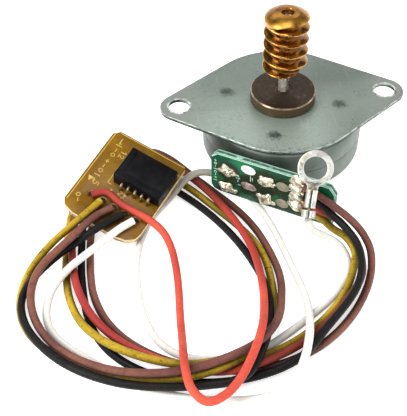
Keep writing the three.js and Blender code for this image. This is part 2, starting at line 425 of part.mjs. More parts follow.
// ---------------------------------------------------------------- worm
// Left-handed single-start thread with narrow crests and wide rounded grooves.
function wormRadius(angle, z) {
  const crest = WORM_PHASE - (WORM_PITCH * (angle + Math.PI / 2)) / (2 * Math.PI);
  let u = (z - crest) / WORM_PITCH;
  u -= Math.round(u);
  const a = Math.abs(u);
  const k = a < 0.11 ? 1 : Math.max(0, 0.5 + 0.5 * Math.cos((Math.PI * (a - 0.11)) / 0.29) * 1);
  const depth = a < 0.4 ? k : 0;
  return WORM_ROOT + (WORM_R - WORM_ROOT) * depth;
}
function crownRadius(z) {
  if (z <= CROWN_Z) return WORM_R;
  const k = (z - CROWN_Z) / (WORM_Z1 - CROWN_Z);
  return WORM_R - 0.35 * k - 0.78 * k * k;
}
function crownStart(angle) {
  const d = ((((angle + Math.PI / 2) % (2 * Math.PI)) + 2 * Math.PI) % (2 * Math.PI));
  const follow = 32.75 - (WORM_PITCH * d * 0.55) / (2 * Math.PI);
  let k = THREE.MathUtils.clamp((d - 5.0) / (2 * Math.PI - 5.0), 0, 1);
  k = k * k * (3 - 2 * k);
  return follow + (32.75 - follow) * k;
}
function wormSolid() {
  const A = 22, Z = 28;
  const bore = boreR(SHAFT_R);
  const rows = [];
  // bore wall at the bottom, then the threaded skin, then the crown
  rows.push(() => [bore, WORM_Z0]);
  for (let i = 0; i <= Z; i++) {
    const z = WORM_Z0 + ((WORM_Z1 - WORM_Z0) * i) / Z;
    // the last turn runs out under a plain crown that tapers in towards the top
    const crown = crownRadius(z);
    rows.push((t) => {
      const blend = THREE.MathUtils.clamp((z - crownStart(t)) / 0.55, 0, 1);
      const r = wormRadius(t, z);
      return [Math.min(r + (WORM_R - r) * blend, crown) - (i === 0 ? 0.12 : 0), z];
    });
  }
  rows.push(() => [2.95, 33.6]);
  rows.push(() => [2.3, 33.93]);
  rows.push(() => [1.55, WORM_TOP]);
  rows.push(() => [bore, WORM_TOP - 0.5]);
  const pos = [];
  for (const row of rows) {
    for (let j = 0; j < A; j++) {
      const t = (2 * Math.PI * j) / A;
      const [r, z] = row(t);
      pos.push(r * Math.cos(t), r * Math.sin(t), z);
    }
  }
  const idx = [];
  const n = rows.length;
  for (let i = 0; i < n; i++) {
    const i2 = (i + 1) % n;
    for (let j = 0; j < A; j++) {
      const j2 = (j + 1) % A;
      idx.push(i * A + j, i * A + j2, i2 * A + j2, i * A + j, i2 * A + j2, i2 * A + j);
    }
  }
  const g = new THREE.BufferGeometry();
  g.setAttribute('position', new THREE.BufferAttribute(new Float32Array(pos), 3));
  g.setIndex(idx);
  return toSolid(g);
}
motor.add(part('worm', wormSolid(), brass()));

// ---------------------------------------------------------------- ring terminal
// local x across, local y from the crimps towards the ring, local z off the plate
const lugFrame = frameOf(LUG_X, LUG_Y, LUG_Z, LUG_NECK_AT);
function ringTerminal() {
  const cy = 3.1;
  const ring = prism(circle(0, cy, LUG_RING_R, 26), 0, LUG_T, [circle(0, cy, LUG_HOLE_R, 22)]);
  const neck = prism([[-0.95, -1.1], [0.95, -1.1], [1.25, 0.55], [-1.25, 0.55]], 0, LUG_T);
  // open barrels: a C-section extruded along y
  const barrel = (ro, ri, y0, y1, gap) => {
    const out = [];
    const n = 14;
    const a0 = Math.PI / 2 + gap, a1 = Math.PI / 2 - gap + 2 * Math.PI;
    for (let i = 0; i <= n; i++) { const t = a0 + ((a1 - a0) * i) / n; out.push([ro * Math.cos(t), ro * Math.sin(t)]); }
    for (let i = n; i >= 0; i--) { const t = a0 + ((a1 - a0) * i) / n; out.push([ri * Math.cos(t), ri * Math.sin(t)]); }
    const m = new THREE.Matrix4().makeBasis(new THREE.Vector3(1, 0, 0), new THREE.Vector3(0, 0, 1), new THREE.Vector3(0, -1, 0));
    m.setPosition(0, y1, ro);
    return moved(prism(out, 0, y1 - y0), m);
  };
  const wire = barrel(1.02, 0.6, -4.3, -1.0, 0.1);
  const bridge = prism([[-0.6, -4.9], [0.6, -4.9], [0.6, -4.2], [-0.6, -4.2]], 0, 0.4);
  const insulation = barrel(1.25, 0.84, -6.15, -4.75, 0.16);
  return ring.add(neck).add(wire).add(bridge).add(insulation);
}
motor.add(placed(lugFrame, [part('ring_terminal', ringTerminal(), tin())]));

// ---------------------------------------------------------------- lead board
const lbFrame = frameOf(LEAD_BOARD_X, LEAD_BOARD_Y, LEAD_BOARD_Z, LEAD_BOARD_AT);
const lbOutline = [
  [-8.05, 8.9], [-8.05, -8.3], [-7.3, -9.4], [-5.2, -10.1], [4.6, -10.1], [6.6, -9.7], [8.0, -8.6], [8.35, -7.2],
  [8.35, 9.6], [7.85, 10.1], [-6.85, 10.1],
];
const LEAD_HOLES = [[-4.1, -4.9], [-1.5, -4.95], [1.05, -5.0], [3.6, -5.05], [6.1, -5.1]];
const leadBoard = prism(lbOutline, -LB_T, 0, LEAD_HOLES.map(([x, y]) => circle(x, y, 0.55, 10)));
// side-entry header: mouth towards +y, five contacts through its rear wall
const HX0 = -2.0, HX1 = 8.2, HY0 = -0.5, HY1 = 6.6;
const CONTACT_X = [0.1, 1.6, 3.1, 4.6, 6.1];
let header = box(HX0, HX1, HY0, HY1, 0.06, HEADER_H)
  .subtract(box(HX0 + 0.8, HX1 - 0.8, HY0 + 1.5, HY1 + 1, 0.75, HEADER_H - 0.7));
for (const x of CONTACT_X) header = header.subtract(box(x - 0.33, x + 0.33, HY0 - 1, HY0 + 2, 1.2, 1.9));
const contacts = CONTACT_X.map((x, i) => {
  const blade = box(x - 0.25, x + 0.25, HY0 - 0.55, HY1 - 1.6, 1.3, 1.8);
  const tail = box(x - 0.25, x + 0.25, HY0 - 1.0, HY0 - 0.5, 0.05, 1.8);
  return part(`contact_${i + 1}`, blade.add(tail), tin());
});
motor.add(placed(lbFrame, [
  part('lead_board', leadBoard, finish(0x8f6c16, 0.4, 0)),
  part('board_connector', header, finish(0x141416, 0.45, 0)),
  ...contacts,
]));

// ---------------------------------------------------------------- leads
const section = new THREE.Shape(circle(0, 0, LEAD_D / 2, 8).map(([x, y]) => new THREE.Vector2(x, y)));
for (const [name, pts] of Object.entries(LEAD_ROUTES)) {
  const curve = new THREE.CatmullRomCurve3(pts.map((p) => new THREE.Vector3(...p)), false, 'centripetal');
  curve.arcLengthDivisions = 1200;
  const g = new THREE.ExtrudeGeometry(section, { steps: LEAD_STEPS, extrudePath: curve, bevelEnabled: false });
  motor.add(part(name, toSolid(g), finish(leadColours[name], 0.5, 0)));
}

export default motor;
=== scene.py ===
import math
import random

import bmesh
import bpy
from mathutils import Matrix, Vector
from mathutils import noise as mnoise


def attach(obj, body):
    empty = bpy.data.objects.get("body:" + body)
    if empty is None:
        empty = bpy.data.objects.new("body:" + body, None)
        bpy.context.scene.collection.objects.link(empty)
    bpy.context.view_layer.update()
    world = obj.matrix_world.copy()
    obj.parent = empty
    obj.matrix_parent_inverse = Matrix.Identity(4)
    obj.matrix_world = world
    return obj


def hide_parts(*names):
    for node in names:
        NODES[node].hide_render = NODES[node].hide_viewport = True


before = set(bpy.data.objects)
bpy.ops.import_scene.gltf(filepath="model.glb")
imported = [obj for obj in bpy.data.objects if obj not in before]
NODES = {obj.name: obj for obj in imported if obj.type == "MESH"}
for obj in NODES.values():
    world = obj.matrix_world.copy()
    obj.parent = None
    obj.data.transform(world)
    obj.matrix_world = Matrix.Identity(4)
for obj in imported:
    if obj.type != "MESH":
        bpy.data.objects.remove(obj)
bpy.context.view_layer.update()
MM = 0.001
rng = random.Random(7)

# ------------------------------------------------------------------ camera
CAM_AT = (-0.0282100, -0.1336914, 0.1230595)
CAM_AZ, CAM_EL, CAM_ROLL = -0.0870016, 0.8046037, -0.0232289
CAM_F_PX = 854.126


def make_camera():
    az, el, ro = CAM_AZ, CAM_EL, CAM_ROLL
    back = Vector((math.sin(az) * math.cos(el), -math.cos(az) * math.cos(el), math.sin(el)))
    right0 = Vector((math.cos(az), math.sin(az), 0.0))
    up0 = back.cross(right0)
    right = right0 * math.cos(ro) + up0 * math.sin(ro)
    up = -right0 * math.sin(ro) + up0 * math.cos(ro)
    cam = bpy.data.objects.new("camera", bpy.data.cameras.new("camera"))
    bpy.context.scene.collection.objects.link(cam)
    m = Matrix((
        (right.x, up.x, back.x, CAM_AT[0]),
        (right.y, up.y, back.y, CAM_AT[1]),
        (right.z, up.z, back.z, CAM_AT[2]),
        (0, 0, 0, 1),
    ))
    cam.matrix_world = m
    cam.data.sensor_fit = "AUTO"
    cam.data.sensor_width = 36.0
    cam.data.lens = CAM_F_PX * 36.0 / 416.0
    cam.data.clip_start = 0.01
    cam.data.clip_end = 10.0
    bpy.context.scene.camera = cam


make_camera()


# ------------------------------------------------------------------ small kit
def frame_matrix(x, y, z, at):
    return Matrix((
        (x[0], y[0], z[0], at[0] * MM),
        (x[1], y[1], z[1], at[1] * MM),
        (x[2], y[2], z[2], at[2] * MM),
        (0, 0, 0, 1),
    ))


IDENT = Matrix.Identity(4)
# terminal board: s along its long side, z up, w out from the shaft axis
TB_ANG = math.radians(-31.54)
TB_DIR = (math.cos(TB_ANG), math.sin(TB_ANG), 0.0)
TB_OUT = (math.sin(TB_ANG), -math.cos(TB_ANG), 0.0)
TB_PERP = 18.45
TB = frame_matrix(TB_DIR, (0.0, 0.0, 1.0), TB_OUT, tuple(TB_PERP * c for c in TB_OUT))
LB = frame_matrix((0.8077, -0.5397, -0.2373), (0.5841, 0.7872, 0.1979), (0.0800, -0.2985, 0.9511), (-33.307, -14.496, 7.030))
LUG = frame_matrix((0.9554, -0.2937, -0.0327), (0.2360, 0.6916, 0.6827), (-0.1778, -0.6599, 0.7300), (1.493, -24.796, 13.041))


def obj_from(name, verts, faces, matrix=IDENT, smooth=None, mats=()):
    """A mesh object from points in millimetres in a local frame."""
    me = bpy.data.meshes.new(name)
    me.from_pydata([matrix @ (Vector(v) * MM) for v in verts], [], faces)
    me.validate()
    bm = bmesh.new()
    bm.from_mesh(me)
    bmesh.ops.remove_doubles(bm, verts=bm.verts, dist=1e-7)
    bmesh.ops.recalc_face_normals(bm, faces=bm.faces)
    bm.to_mesh(me)
    bm.free()
    ob = bpy.data.objects.new(name, me)
    bpy.context.scene.collection.objects.link(ob)
    for m in mats:
        me.materials.append(m)
    if smooth is not None:
        shade(ob, smooth)
    return ob


def shade(ob, angle=35):
    me = ob.data
    me.polygons.foreach_set("use_smooth", [True] * len(me.polygons))
    me.set_sharp_from_angle(angle=math.radians(angle))


def lathe(name, profile, seg=128, smooth=40, closed=True, mats=(), matrix=IDENT):
    """Turned solid about local z from a closed (r, z) profile in mm."""
    verts, faces = [], []
    n = len(profile)
    for r, z in profile:
        for j in range(seg):
            t = 2 * math.pi * j / seg
            verts.append((r * math.cos(t), r * math.sin(t), z))
    last = n if closed else n - 1
    for i in range(last):
        a, b = i, (i + 1) % n
        for j in range(seg):
            k = (j + 1) % seg
            if profile[a][0] < 1e-6 and profile[b][0] < 1e-6:
                continue
            faces.append((a * seg + j, a * seg + k, b * seg + k, b * seg + j))
    return obj_from(name, verts, faces, matrix, smooth, mats)


def rounded(profile, r, n=4):
    """Rounds the corners of a closed (r, z) profile; r is a radius or a list with one radius per corner."""
    out = []
    m = len(profile)
    for i, p in enumerate(profile):
        rr = r[i] if isinstance(r, (list, tuple)) else r
        a, b, c = Vector(profile[i - 1]), Vector(p), Vector(profile[(i + 1) % m])
        u, v = (a - b), (c - b)
        if rr <= 0 or u.length < 1e-6 or v.length < 1e-6:
            out.append(tuple(b))
            continue
        u, v = u.normalized(), v.normalized()
        ang = math.acos(max(-1.0, min(1.0, u.dot(v))))
        if ang > math.pi - 0.05:
            out.append(tuple(b))
            continue
        d = min(rr / math.tan(ang / 2), 0.45 * (a - b).length, 0.45 * (c - b).length)
        p0, p1 = b + u * d, b + v * d
        for k in range(n + 1):
            t = k / n
            q = (1 - t) ** 2 * p0 + 2 * t * (1 - t) * b + t * t * p1
            out.append((q.x, q.y))
    return out


def plate(name, outline, z0, z1, holes=(), bevel=0.08, matrix=IDENT, mats=(), smooth=35, res=2):
    """A flat plate from 2-D outlines in mm, with rounded edges."""
    cu = bpy.data.curves.new(name + "_c", "CURVE")
    cu.dimensions = "2D"
    cu.fill_mode = "BOTH"
    for loop in [outline, *holes]:
        sp = cu.splines.new("POLY")
        sp.points.add(len(loop) - 1)
        for p, (x, y) in zip(sp.points, loop):
            p.co = (x, y, 0, 1)
        sp.use_cyclic_u = True
    half = (z1 - z0) / 2
    bevel = min(bevel, half * 0.95)
    cu.extrude = half - bevel
    cu.bevel_depth = bevel
    cu.bevel_resolution = res
    cu.offset = -bevel
    tmp = bpy.data.objects.new(name + "_t", cu)
    bpy.context.scene.collection.objects.link(tmp)
    dg = bpy.context.evaluated_depsgraph_get()
    me = bpy.data.meshes.new_from_object(tmp.evaluated_get(dg))
    bpy.data.objects.remove(tmp)
    verts = [(v.co.x, v.co.y, v.co.z + (z0 + z1) / 2) for v in me.vertices]
    faces = [tuple(p.vertices) for p in me.polygons]
    bpy.data.meshes.remove(me)
    return obj_from(name, verts, faces, matrix, smooth, mats)


def circle(x, y, r, n=48):
    return [(x + r * math.cos(2 * math.pi * i / n), y + r * math.sin(2 * math.pi * i / n)) for i in range(n)]


def block(name, x0, x1, y0, y1, z0, z1, bevel=0.12, seg=3, matrix=IDENT, mats=(), taper=None):
    """A moulded block with rounded edges, built in mesh code."""
    bm = bmesh.new()
    vs = []
    for z in (z0, z1):
        k = 0.0 if taper is None or z == z0 else taper
        for x, y in ((x0 + k, y0 + k), (x1 - k, y0 + k), (x1 - k, y1 - k), (x0 + k, y1 - k)):
            vs.append(bm.verts.new((x, y, z)))
    for f in ((0, 3, 2, 1), (4, 5, 6, 7), (0, 1, 5, 4), (1, 2, 6, 5), (2, 3, 7, 6), (3, 0, 4, 7)):
        bm.faces.new([vs[i] for i in f])
    bmesh.ops.bevel(bm, geom=list(bm.edges), offset=bevel, segments=seg, profile=0.5, affect="EDGES")
    verts = [tuple(v.co) for v in bm.verts]
    faces = [tuple(v.index for v in f.verts) for f in bm.faces] if False else None
    bm.verts.index_update()
    faces = [tuple(v.index for v in f.verts) for f in bm.faces]
    bm.free()
    return obj_from(name, verts, faces, matrix, 40, mats)


def join(name, objs):
    """Several mesh objects as one, keeping their materials."""
    mats, verts, faces, fm, sharp = [], [], [], [], []
    for o in objs:
        off = len(verts)
        remap = []
        for m in o.data.materials:
            if m not in mats:
                mats.append(m)
            remap.append(mats.index(m))
        verts += [tuple(o.matrix_world @ v.co) for v in o.data.vertices]
        for p in o.data.polygons:
            faces.append(tuple(off + i for i in p.vertices))
            fm.append(remap[p.material_index] if remap else 0)
    me = bpy.data.meshes.new(name)
    me.from_pydata(verts, [], faces)
    for m in mats:
        me.materials.append(m)
    me.polygons.foreach_set("material_index", fm)
    ob = bpy.data.objects.new(name, me)
    bpy.context.scene.collection.objects.link(ob)
    shade(ob, 40)
    for o in objs:
        bpy.data.objects.remove(o)
    return ob


# ------------------------------------------------------------------ materials
class Mat:
    def __init__(s, name, color=(0.5, 0.5, 0.5), rough=0.5, metal=0.0, ior=1.45, spec=0.5):
        s.m = bpy.data.materials.new(name)
        s.m.use_nodes = True
        s.t = s.m.node_tree
        s.t.nodes.clear()
        s.out = s.n("ShaderNodeOutputMaterial")
        s.b = s.n("ShaderNodeBsdfPrincipled")
        s.t.links.new(s.b.outputs["BSDF"], s.out.inputs["Surface"])
        s.b.inputs["Base Color"].default_value = (*color, 1)
        s.b.inputs["Roughness"].default_value = rough
        s.b.inputs["Metallic"].default_value = metal
        s.b.inputs["IOR"].default_value = ior
        s.b.inputs["Specular IOR Level"].default_value = spec
        s.co = s.n("ShaderNodeTexCoord").outputs["Object"]
        s.normal = None

    def n(s, kind, **kw):
        node = s.t.nodes.new(kind)
        for k, v in kw.items():
            setattr(node, k, v)
        return node

    def put(s, socket, value):
        if hasattr(value, "links"):
            s.t.links.new(value, socket)
        elif isinstance(value, (tuple, list)) and len(value) == 3 and socket.type == "RGBA":
            socket.default_value = (*value, 1)
        else:
            socket.default_value = value

    def mapping(s, vec=None, scale=(1, 1, 1), rot=(0, 0, 0), loc=(0, 0, 0)):
        m = s.n("ShaderNodeMapping")
        s.put(m.inputs["Vector"], vec if vec is not None else s.co)
        m.inputs["Scale"].default_value = scale
        m.inputs["Rotation"].default_value = rot
        m.inputs["Location"].default_value = loc
        return m.outputs[0]

    def noise(s, per_mm, detail=4.0, rough=0.55, vec=None, dist=0.0, loc=0.0):
        """Noise with about per_mm features per millimetre."""
        v = s.mapping(vec, loc=(loc, loc * 1.7, -loc)) if loc else (vec if vec is not None else s.co)
        t = s.n("ShaderNodeTexNoise")
        s.put(t.inputs["Vector"], v)
        t.inputs["Scale"].default_value = per_mm * 1000
        t.inputs["Detail"].default_value = detail
        t.inputs["Roughness"].default_value = rough
        t.inputs["Distortion"].default_value = dist
        return t.outputs["Fac"]

    def voronoi(s, per_mm, feature="F1", vec=None):
        t = s.n("ShaderNodeTexVoronoi", feature=feature)
        s.put(t.inputs["Vector"], vec if vec is not None else s.co)
        t.inputs["Scale"].default_value = per_mm * 1000
        return t.outputs["Distance"]

    def step(s, fac, lo, hi, a=0.0, b=1.0):
        r = s.n("ShaderNodeMapRange", interpolation_type="SMOOTHSTEP")
        s.put(r.inputs["Value"], fac)
        r.inputs["From Min"].default_value = lo
        r.inputs["From Max"].default_value = hi
        r.inputs["To Min"].default_value = a
        r.inputs["To Max"].default_value = b
        return r.outputs["Result"]

    def ramp(s, fac, stops):
        r = s.n("ShaderNodeValToRGB")
        s.put(r.inputs["Fac"], fac)
        e = r.color_ramp.elements
        while len(e) < len(stops):
            e.new(0.5)
        for el, (p, c) in zip(e, stops):
            el.position = p
            el.color = (*c, 1)
        return r.outputs["Color"]

    def mix(s, fac, a, b, mode="MIX"):
        m = s.n("ShaderNodeMix", data_type="RGBA", blend_type=mode)
        s.put(m.inputs["Factor"], fac)
        s.put(m.inputs["A"] if False else m.inputs[6], a)
        s.put(m.inputs[7], b)
        return m.outputs[2]

    def math(s, op, a, b=0.0, clamp=False):
        m = s.n("ShaderNodeMath", operation=op, use_clamp=clamp)
        s.put(m.inputs[0], a)
        s.put(m.inputs[1], b)
        return m.outputs[0]

    def xyz(s, vec=None):
        m = s.n("ShaderNodeSeparateXYZ")
        s.put(m.inputs[0], vec if vec is not None else s.co)
        return m.outputs

    def near(s, at, r0, r1, vec=None, squash=(1, 1, 1)):
        """1 within r0 mm of a point in mm, 0 beyond r1 mm."""
        v = s.n("ShaderNodeVectorMath", operation="SUBTRACT")
        s.put(v.inputs[0], vec if vec is not None else s.co)
        v.inputs[1].default_value = [c * MM for c in at]
        w = s.n("ShaderNodeVectorMath", operation="MULTIPLY")
        s.put(w.inputs[0], v.outputs[0])
        w.inputs[1].default_value = squash
        l = s.n("ShaderNodeVectorMath", operation="LENGTH")
        s.put(l.inputs[0], w.outputs[0])
        return s.step(l.outputs["Value"], r0 * MM, r1 * MM, 1.0, 0.0)

    def crevice_shade(s, dist_mm, lo=0.35, hi=0.9, samples=6):
        """1 in tight corners, 0 in the open: a mask for painting shade into crevices."""
        a = s.n("ShaderNodeAmbientOcclusion")
        a.samples = samples
        a.inputs["Distance"].default_value = dist_mm * MM
        return s.step(a.outputs["AO"], lo, hi, 1.0, 0.0)

    def bump(s, height, strength=0.3, dist=0.05):
        b = s.n("ShaderNodeBump")
        s.put(b.inputs["Height"], height)
        b.inputs["Strength"].default_value = strength
        b.inputs["Distance"].default_value = dist * MM
        if s.normal is not None:
            s.put(b.inputs["Normal"], s.normal)
        s.normal = b.outputs["Normal"]
        s.put(s.b.inputs["Normal"], s.normal)

    def set(s, **kw):
        names = {"color": "Base Color", "rough": "Roughness", "metal": "Metallic", "coat": "Coat Weight", "coat_rough": "Coat Roughness",
                 "sheen": "Sheen Weight", "sub": "Subsurface Weight", "aniso": "Anisotropic"}
        for k, v in kw.items():
            s.put(s.b.inputs[names[k]], v)
        return s


def insulation(name, base, dark, grime=None, grime_amt=0.25, rough=0.55, shade_amt=0.8, shade_zones=None):
    """Soft PVC wire insulation: slow colour drift, fine grain, a few handling marks, and painted shade in listed zones
    and in the crevices between wires.
    """
    m = Mat(name, base, rough, spec=0.18)
    drift = m.noise(0.11, 3.0)
    col = m.mix(m.step(drift, 0.3, 0.7), base, dark)
    fine = m.noise(2.2, 5.0, 0.6)
    col = m.mix(m.step(fine, 0.45, 0.75, 0.0, 0.25), col, tuple(min(1, c * 1.35 + 0.02) for c in base))
    if grime:
        spots = m.noise(1.35, 6.0, 0.68, loc=3.1)
        col = m.mix(m.step(spots, 0.53, 0.66, 0.0, grime_amt), col, grime)
    # painted shade: darker tones in listed zones where the wires lie in shade, in the bundle and at crossings
    for at, r0, r1, tone in shade_zones or ():
        col = m.mix(m.math("MULTIPLY", m.near(at, r0, r1), 0.8), col, tone)
    # painted shade: insulation darkened where wires touch and in the crevices between them
    col = m.mix(m.math("MULTIPLY", m.crevice_shade(3.6, 0.35, 0.98), shade_amt), col, tuple(c * 0.3 for c in dark))
    m.set(color=col, rough=m.step(m.noise(0.9, 4.0), 0.3, 0.7, rough - 0.1, rough + 0.12))
    m.bump(m.noise(3.5, 5.0, 0.6), 0.25, 0.03)
    m.bump(m.noise(0.45, 3.0), 0.3, 0.12)
    return m.m


MAT = {}
MAT["orange"] = insulation("insulation_orange", (0.68, 0.095, 0.055), (0.50, 0.060, 0.040), (0.26, 0.035, 0.03), 0.25,
                           shade_zones=[((-11.0, -27.0, 2.6), 8.0, 16.0, (0.34, 0.032, 0.026)), ((-43.4, -21.0, 2.0), 8.0, 15.0, (0.25, 0.028, 0.024)),
                                 ((-36.0, -38.0, 1.5), 6.0, 12.0, (0.33, 0.028, 0.036)),
                                 ((8.5, -33.0, 2.2), 9.0, 14.0, (0.13, 0.034, 0.022)), ((2.0, -46.5, 2.0), 7.0, 11.0, (0.13, 0.034, 0.022)),
                                 ((-5.5, -51.6, 1.9), 4.0, 7.0, (0.15, 0.034, 0.022)), ((-11.0, -54.3, 2.0), 2.6, 4.2, (0.2, 0.034, 0.024)),
                                 ((-38.0, -45.0, 2.0), 5.0, 11.0, (0.34, 0.036, 0.03)),
                                 ((-18.8, -10.0, 1.9), 5.5, 10.0, (0.15, 0.030, 0.020)), ((-15.6, -15.6, 2.3), 2.0, 4.5, (0.24, 0.034, 0.022))])
MAT["yellow"] = insulation("insulation_yellow", (0.62, 0.40, 0.020), (0.27, 0.18, 0.012), (0.05, 0.04, 0.01), 0.85,
                           shade_zones=[((-14.0, -20.0, 1.5), 4.0, 13.0, (0.26, 0.19, 0.02)), ((-34.0, -42.0, 1.0), 4.0, 12.0, (0.36, 0.25, 0.02))])
MAT["brown"] = insulation("insulation_brown", (0.235, 0.092, 0.060), (0.125, 0.046, 0.040), (0.05, 0.022, 0.022), 0.45,
                          shade_zones=[((-13.0, -18.0, 1.0), 4.0, 13.0, (0.12, 0.040, 0.028)), ((-17.5, -9.0, 2.0), 5.0, 10.0, (0.09, 0.028, 0.020))])
MAT["black"] = insulation("insulation_black", (0.005, 0.0046, 0.0042), (0.009, 0.008, 0.007), (0.022, 0.020, 0.017), 0.3, rough=0.5)
MAT["white"] = insulation("insulation_white", (0.86, 0.85, 0.80), (0.74, 0.73, 0.68), (0.34, 0.32, 0.27), 0.25,
                          shade_amt=0.35, shade_zones=[((-21.39, -10.89, 3.2), 3.0, 14.0, (0.36, 0.32, 0.25))])

